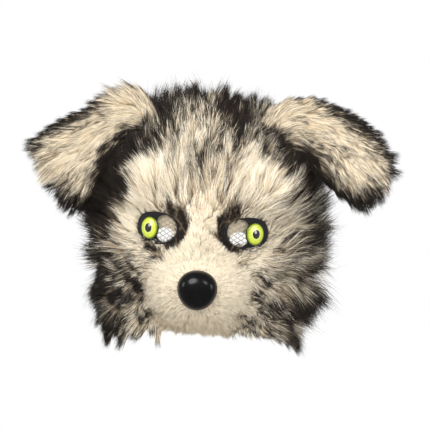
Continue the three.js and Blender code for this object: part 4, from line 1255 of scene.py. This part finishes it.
def earPad(ear):
    # the pad's points, and for each of them its place and directions on the ear
    rings, sides = earShape["rings"], earShape["sides"]
    share = np.linspace(0, 1, rings)
    top, bottom = (bezier(edge, share) for edge in earEdges(ear))
    middle, span = (top + bottom) / 2, top - bottom
    halfWidth = np.linalg.norm(span, axis=1) / 2
    across = span / (2 * halfWidth[:, None])
    further = unit(np.gradient(middle, axis=0))
    out = unit(np.cross(across, further))
    out *= np.where(out[:, 1:2] > 0, -1, 1)
    width, thick = (np.interp(share, earSections["along"], earSections[key]) for key in ("width", "thick"))
    sideways, height = np.cos(turns(sides)), np.sin(turns(sides))
    half = (halfWidth * width)[:, None]
    raised = (earShape["thickness"] / 2 * thick)[:, None] * height - earShape["cup"] * sideways ** 2
    points = middle[:, None, :] + (half * sideways)[..., None] * across[:, None, :]
    points = (points + raised[..., None] * out[:, None, :]).reshape(-1, 3)
    inside = np.maximum(cloth["gap"] - faceDistance(points), 0)
    places = {
        "share": np.repeat(share, sides),
        "sideways": np.tile(sideways, rings),
        "height": np.tile(height, rings),
    }
    ways = {"across": across, "further": further, "out": out}
    ways = {key: np.repeat(way, sides, 0) for key, way in ways.items()}
    return points + outwardAt(points) * inside[:, None], places, ways


def earFields(ear, points, at, ways):
    # long fur that runs to the ear's end and out over its edges
    sideways, share, edge = at["sideways"], at["share"], np.abs(at["sideways"])
    roundEdge = ways["across"] * (sideways * edge ** 3)[:, None]
    rise = unit(ways["out"] * at["height"][:, None] + roundEdge)
    fan = earCoat["fan"] + earCoat["edgeFan"] * edge ** 3
    outward = ways["further"] + ways["across"] * (sideways * fan)[:, None]
    front, upperEdge, lowerEdge = zone("front", at), zone("upper edge", at), zone("lower edge", at)
    farHalf, end = zone("far half", at), zone("end", at)
    inward, lowEnd = 1 - zone("outer part", at), end * zone("low end", at)
    tone = ear["base"] + (earTones["upper"] + earTones["upperFar"] * farHalf) * upperEdge
    # the lower edge, darkest near the head, is dark fur and painted shade where the ear hangs over the head
    tone += (earTones["lower"] + earTones["lowerNear"] * inward) * lowerEdge + earTones["back"] * (1 - front)
    tone += ear["endTone"] * end + earTones["lowEnd"] * lowEnd
    tone += ear["streaky"] * inward * zone("low streaks", at)
    pile = earCoat["pile"] + (earCoat["edgePile"] - earCoat["pile"]) * np.maximum(edge, end)
    pile += ear["highEnd"] * (end - lowEnd) + ear["lowEnd"] * lowEnd
    nearRoot = zone("past the root", at) * (1 - farHalf)
    pile += (ear["rootWisps"] * nearRoot - ear["closeEdge"] * farHalf * (1 - end)) * upperEdge
    pile = pile * (earCoat["rootShare"] + (1 - earCoat["rootShare"]) * zone("off the root", at))
    thinBack = earCoat["backDensity"] + (1 - earCoat["backDensity"]) * front
    return {
        "comb": laidAlong(outward, rise, earCoat["laidShare"]), "rise": rise, "pile": pile * mm,
        "lift": np.radians(earCoat["lift"] + earCoat["edgeLift"] * edge), "tone": np.clip(tone, 0, 1),
        "furDensity": soften(faceDistance(points), earCoat["bareTo"], earCoat["fullFrom"]) * thinBack,
        "warmth": np.full(len(points), earCoat["warmth"]), "spread": np.ones(len(points)),
        "streak": np.stack([
            sideways * earCoat["streaksAcross"] - share * earCoat["streaksSlant"],
            at["height"] * earCoat["streaksThrough"], share * earCoat["streaksAlong"],
        ], -1),
    }


def addEar(name, ear):
    points, at, ways = earPad(ear)
    rings, sides = earShape["rings"], earShape["sides"]
    pad = smooth(facedOut(meshObject(name + "_ear_pad", points, ringFaces(rings, sides))))
    finished(pad, backingCloth, "ear_pile", name + "_ear")
    side = ringFaces(rings, sides, closeStart=False)
    growOn(name + "_ear_fur", points, side, earFields(ear, points, at, ways))


for name, ear in earRows.items():
    addEar(name, ear)
print("ears made")


# The eyes

def lathe(name, flat, profile, sides=64):
    rings = [ring(flat, radius, radius, sides, height) for radius, height in profile]
    made = meshObject(name, np.concatenate(rings), ringFaces(len(profile), sides))
    return smooth(facedOut(made), 40)


def eyeTop(radius):
    return eye["edge"] + eye["dome"] * math.sqrt(max(1 - (radius / eye["radius"]) ** 2, 0))


discMargin = 2.2  # the width of the disc's map, in radii


def discMap(made, flat, radius):
    # its own map: across the disc and up it, with the middle at a half
    layer = made.data.uv_layers.new(name="disc")
    centre = toRow(flat["centre"])
    span = discMargin * radius * mm
    for loop in made.data.loops:
        q = np.array(made.data.vertices[loop.vertex_index].co) - centre
        layer.data[loop.index].uv = (0.5 + q @ flat["across"] / span, 0.5 + q @ flat["up"] / span)


irisStops = [
    (0.0, colour(240, 242, 190)), (0.42, colour(234, 238, 164)), (0.5, colour(218, 222, 96)),
    (0.8, colour(206, 212, 62)), (0.93, colour(128, 140, 30)), (1.0, colour(52, 60, 16)),
]


def irisFinish(board):
    # rings of colour out from the middle, with streaks that run outwards
    place = (board.mapped("disc") - (0.5, 0.5, 0.0)) * discMargin
    spoke = board.calculate("NORMALIZE", place)
    streaks = board.between(board.noise(spoke * 7 + place * 1.5, 4.0, 4, 0.65), 0.42, 0.62)
    base = board.ramp(irisStops, board.calculate("LENGTH", place))
    return {"Base Color": board.mix(streaks, base, board.mix(1.0, base, colour(172, 198, 110), "MULTIPLY"))}


def mottled(board, scale, detail, first, second, roughness=0.5, bump=None):
    # two colours in a fine grain, which can also stand up
    grain = board.noise(board.objectPlace(), scale, detail, roughness)
    look = {"Base Color": board.mix(grain, first, second)}
    return {**look, "Normal": board.bump(grain, *bump)} if bump else look


irisPlastic = newMaterial("irisPlastic", {
    "Roughness": 0.25, "Coat Weight": 0.6, "Coat Roughness": 0.04, "Specular IOR Level": 0.4}, irisFinish)
pupilPlastic = newMaterial("pupilPlastic", {
    "Roughness": 0.12, "Specular IOR Level": 0.5, "Coat Weight": 1.0, "Coat Roughness": 0.05},
    mottled, 600, 2, colour(8, 8, 9), colour(22, 21, 22))
blackFelt = newMaterial("blackFelt", {"Roughness": 0.95, "Sheen Weight": 0.1, "Specular IOR Level": 0.1},
                        mottled, 1400, 3, colour(14, 14, 15), colour(44, 43, 46), 0.7, (0.7, 0.0005))
netThread = newMaterial("netThread", {"Roughness": 0.5, "Specular IOR Level": 0.4},
                        mottled, 700, 2, colour(138, 128, 114), colour(186, 178, 164))

net = {"pitch": 3.7, "rise": 4.2, "thread": 1.0, "sides": 6, "overlap": 0.7, "reach": 0.98}
netInputs = {"Lines": "Geometry", "Radius": "Float", "Sides": "Int", "Material": "Material"}


def threadTree():
    # turns loose edges into round thread
    board = TreeBoard("spinThread", netInputs)
    line = board.node("GeometryNodeMeshToCurve", {}, {"Mesh": board.given("Lines")})
    circle = board.node("GeometryNodeCurvePrimitiveCircle", {}, {
        "Resolution": board.given("Sides"), "Radius": board.given("Radius")})
    tube = board.node("GeometryNodeCurveToMesh", {}, {
        "Curve": line, "Profile Curve": circle, "Fill Caps": True})
    return board.finish(tube, "Thread")


spinThread = threadTree()


def onFace(points, flat, height):
    # moves points of a flat pattern along its out direction until they lie at that height over the form
    low, high = np.full(len(points), -40.0), np.full(len(points), 60.0)
    reach = cross(lambda t: faceDistance(points + t[:, None] * flat["out"]) - height, low, high)
    return points + reach[:, None] * flat["out"]


def addNet(name, flat):
    # zigzag threads, each a run of short edges, that meet their neighbours at every turn
    points, edges = [], []
    halfWidth, halfHeight = eye["halfWidth"] - cloth["gap"], eye["halfHeight"] - cloth["gap"]
    columns = int(halfWidth / net["pitch"]) + 1
    rows = int(2 * halfHeight / net["rise"]) + 2
    zig = (net["pitch"] - net["thread"] * net["overlap"]) / 2
    for column in range(-columns, columns + 1):
        before = None
        for step in range(-rows, rows + 1):
            across = column * net["pitch"] + (zig if (step + column) % 2 else -zig)
            up = step * net["rise"] / 2
            if math.hypot(across / halfWidth, up / halfHeight) > net["reach"]:
                before = None
                continue
            points.append(flat["centre"] + across * flat["across"] + up * flat["up"])
            if before is not None:
                edges.append((before, len(points) - 1))
            before = len(points) - 1
    laid = onFace(np.array(points), flat, netLow + eye["netThickness"] / 2)
    made = meshObject(name + "_net", laid, [], edges)
    runTree(made, spinThread, {
        "Radius": net["thread"] * mm / 2, "Sides": net["sides"], "Material": netThread})
    finished(smooth(made), None, "net", name + "_eye_net")
    print(made.name, "has", len(made.data.polygons), "faces")


def flatLayer(name, flat, halfWidth, halfHeight, low, thickness, steps=18, sides=64):
    # an elliptical sheet laid over the form
    shares = np.linspace(1, 0, steps, endpoint=False)
    rings = [ring(flat, share * halfWidth, share * halfHeight, sides) for share in shares]
    spread = np.concatenate([*rings, flat["centre"][None, :]])
    below, above = onFace(spread, flat, low), onFace(spread, flat, low + thickness)
    total, last = len(spread), (steps - 1) * sides
    faces = ringFaces(steps, sides, closeStart=False, closeEnd=False)
    faces += [(last + i, last + (i + 1) % sides, total - 1) for i in range(sides)]
    edge = [(i, (i + 1) % sides, total + (i + 1) % sides, total + i) for i in range(sides)]
    return facedOut(meshObject(name, np.concatenate([below, above]), faces + shifted(faces, total) + edge))


def addPatch(name, flat, seat):
    made = flatLayer(name + "_felt", flat, eye["halfWidth"] - cloth["gap"], eye["halfHeight"] - cloth["gap"],
                     feltLow, eye["feltThickness"])
    bore(made, sights[name], sightHalfWidth, eye["halfHeight"] - eye["feltRim"])
    bore(made, seat, stemHole, stemHole, 24)
    finished(smooth(made, form["sharpAngle"]), blackFelt, "felt", name + "_eye_patch")


def addEye(name, seat):
    # a domed disc on a stem, with a black pupil let into its middle
    tiny, top, edge = 0.02, eyeTop(0), eye["edgeRound"]
    recess, floor = eye["pupilRadius"] + eye["recessPlay"], top - eye["recess"]
    radii = [eye["radius"] * math.cos(a) for a in np.linspace(0, math.pi / 2, 16)]
    dome = [(radius, eyeTop(radius)) for radius in radii if radius > recess + 0.2]
    stem = [(tiny, -eye["stemLength"]), (eye["stemRadius"], -eye["stemLength"]), (eye["stemRadius"], 0)]
    rim = [(eye["radius"] - edge, 0), (eye["radius"], edge)]
    hollow = [(recess, eyeTop(recess)), (recess, floor), (tiny, floor)]
    made = lathe(name + "_iris", seat, stem + rim + dome + hollow)
    discMap(made, seat, eye["radius"])
    finished(made, irisPlastic, "iris_plastic", name + "_eye")
    radii = [eye["pupilRadius"] * math.cos(a) for a in np.linspace(0, math.pi / 2, 9)]
    foot = floor + eye["glue"]
    profile = [(tiny, foot), (eye["pupilRadius"], foot)]
    profile += [
        (max(radius, tiny), eyeTop(radius) + eye["pupilRise"] * (1 - (radius / eye["pupilRadius"]) ** 2))
        for radius in radii
    ]
    made = lathe(name + "_black_pupil", seat, profile, 40)
    finished(made, pupilPlastic, "pupil_plastic", name + "_pupil")


for name, flat in eyes.items():
    addNet(name, flat)
    addPatch(name, flat, seats[name])
    addEye(name, seats[name])
print("eyes made")


# The nose

nose = {
    "radius": 17.2, "dome": 11, "edge": 2.2, "lift": 7, "point": 0.02, "sides": 96,
    "bead": 1.1, "beadSides": 12, "beadInset": 0.8,
    "foot": 0.93, "wall": 0.985, "shoulder": 0.97, "shoulderTurn": 0.85, "fullness": 0.9,
    "scuffsFrom": 1.8, "scuffsTo": -16.2,
}
noseZ = swellings["muzzle"]["z"] + nose["lift"]
noseCentre = np.array([0, -float(ahead(0, noseZ, faceDistance)) - clothTop, noseZ])


def noseFinish(board):
    # grained, and scuffed on its lower half
    place = board.objectPlace()
    grain = board.noise(place, 900, 4, 0.6)
    scuffs = board.between(board.noise(place, 260, 5, 0.75), 0.55, 0.7)
    high, low = (float(toRow(noseCentre)[2]) + nose[key] * mm for key in ("scuffsFrom", "scuffsTo"))
    lowerHalf = board.between(board.parts(place)[2], high, low)
    return {
        "Base Color": board.mix(scuffs * 0.6, colour(4, 4, 5), colour(26, 24, 24)),
        "Roughness": 0.3 + scuffs * lowerHalf * 0.3 + grain * 0.1,
        "Normal": board.bump(grain + scuffs * 0.8, 0.25, 0.0004),
    }


noseCover = newMaterial("noseCover", {
    "Specular IOR Level": 0.05, "Coat Weight": 0.28, "Coat Roughness": 0.16}, noseFinish)
noseBead = newMaterial("noseBead", {"Roughness": 0.55},
                       mottled, 500, 3, colour(40, 33, 29), colour(92, 74, 58))


def noseOutline(share):
    # nearly round, with three slight corners
    turn = turns(nose["sides"])
    radius = nose["radius"] * share * (1 + nose["point"] * np.sin(3 * turn))
    return radius * np.cos(turn), radius * np.sin(turn)


def noseRing(share, height):
    x, up = noseOutline(share)
    return np.stack([x, np.full(x.shape, -height), up], -1)


def addNose():
    edge, crown = nose["edge"], nose["dome"] + nose["edge"] * 0.4
    rows = [(nose["foot"], -cloth["thickness"] - edge), (nose["wall"], 0), (nose["wall"], edge * 0.5)]
    for a in np.linspace(0.06, math.pi / 2 - 0.03, 20):
        share = nose["shoulder"] * math.cos(a) ** nose["shoulderTurn"]
        rows.append((share, edge * 0.6 + crown * math.sin(a) ** nose["fullness"]))
    points = noseCentre + np.concatenate([noseRing(share, height) for share, height in rows])
    hidden = np.maximum(clothTop + cloth["gap"] - faceDistance(points), 0)
    points = points + outwardAt(points) * hidden[:, None]
    made = smooth(facedOut(meshObject("nose_dome", points, ringFaces(len(rows), nose["sides"]))), 50)
    finished(made, noseCover, "nose_cover", "nose")


def addNoseRim():
    # a round bead where the nose meets the fur
    turn = turns(nose["beadSides"])[None, :, None]
    rim = noseRing(1, nose["edge"] * 0.6)
    spoke = unit(rim * np.array([1, 0, 1]))[:, None, :]
    around = np.cos(turn) * spoke + np.sin(turn) * np.array([0, -1.0, 0])
    points = noseCentre + rim[:, None, :] + nose["bead"] * (around - nose["beadInset"] * spoke)
    faces = ringFaces(nose["sides"], nose["beadSides"], closeStart=False, closeEnd=False, joined=True)
    made = smooth(facedOut(meshObject("nose_rim", points.reshape(-1, 3), faces)))
    finished(made, noseBead, "nose_cover", "nose")


addNose()
addNoseRim()
print("nose made")


# The strap: a ribbed elastic band inside the cheeks and round the back of the head

strap = {
    "width": 25, "thickness": 1.5, "height": 22, "back": 96, "lap": 26, "rimMargin": 2, "steps": 150,
    "ribs": 9, "ribHeight": 0.25, "threads": 2600,
}


def elasticFinish(board):
    across, along, _ = board.parts(board.mapped("band"))
    rib = board.calculate("SINE", across * (2 * math.pi * strap["ribs"]))
    thread = board.calculate("SINE", along * strap["threads"])
    tint = board.between(rib * thread, -0.6, 0.8)
    return {
        "Base Color": board.mix(tint, colour(22, 21, 23), colour(46, 45, 48)),
        "Normal": board.bump(rib * 0.5 + thread * 0.5, 0.5, 0.0003),
    }


elastic = newMaterial("wovenElastic", {
    "Roughness": 0.8, "Sheen Weight": 0.2, "Specular IOR Level": 0.25}, elasticFinish)


def addStrap():
    # each section runs up the outer side of the band and down the inner one
    halfWidth, front = (form[key] - form["wall"] - cloth["gap"] for key in ("halfWidth", "faceDepth"))
    lap = math.asin((strap["lap"] - rimY(strap["height"])) / front)
    angle = np.linspace(-lap, math.pi + lap, strap["steps"])
    depth = np.where((angle < 0) | (angle > math.pi), front, strap["back"])
    rows = 2 * strap["ribs"] + 1
    ribs = np.abs(np.sin(np.linspace(0, math.pi * strap["ribs"], rows))) - 1
    ribs *= strap["ribHeight"]
    outOfBand = np.concatenate([ribs, -strap["thickness"] - ribs[::-1]])
    up = np.linspace(-0.5, 0.5, rows)
    up = np.concatenate([up, up[::-1]])
    spoke = np.stack([np.cos(angle), np.sin(angle), np.zeros(len(angle))], -1)
    middle = spoke * np.stack([np.full(len(angle), halfWidth), depth, depth], -1) + (0, 0, strap["height"])
    points = middle[:, None, :] + spoke[:, None, :] * outOfBand[None, :, None]
    points[..., 2] += up * strap["width"]
    points = points.reshape(-1, 3)
    depthIn = faceDistance(points) + form["wall"] + cloth["gap"]
    near = (points[:, 1] < rimY(points[:, 2]) + strap["rimMargin"]) & (depthIn > 0)
    points[near] -= outwardAt(points[near]) * depthIn[near][:, None]
    made = facedOut(meshObject("elastic_strap", points, ringFaces(len(angle), 2 * rows)))
    share = np.arange(len(angle)) / len(angle)
    places = np.stack([np.tile(up + 0.5, len(angle)), np.repeat(share, 2 * rows)], -1)
    layer = made.data.uv_layers.new(name="band")
    for loop in made.data.loops:
        layer.data[loop.index].uv = places[loop.vertex_index]
    finished(smooth(made, 60), elastic, "elastic", "strap")


addStrap()
print("strap made")

for strand in strands.values():
    bpy.data.objects.remove(strand)
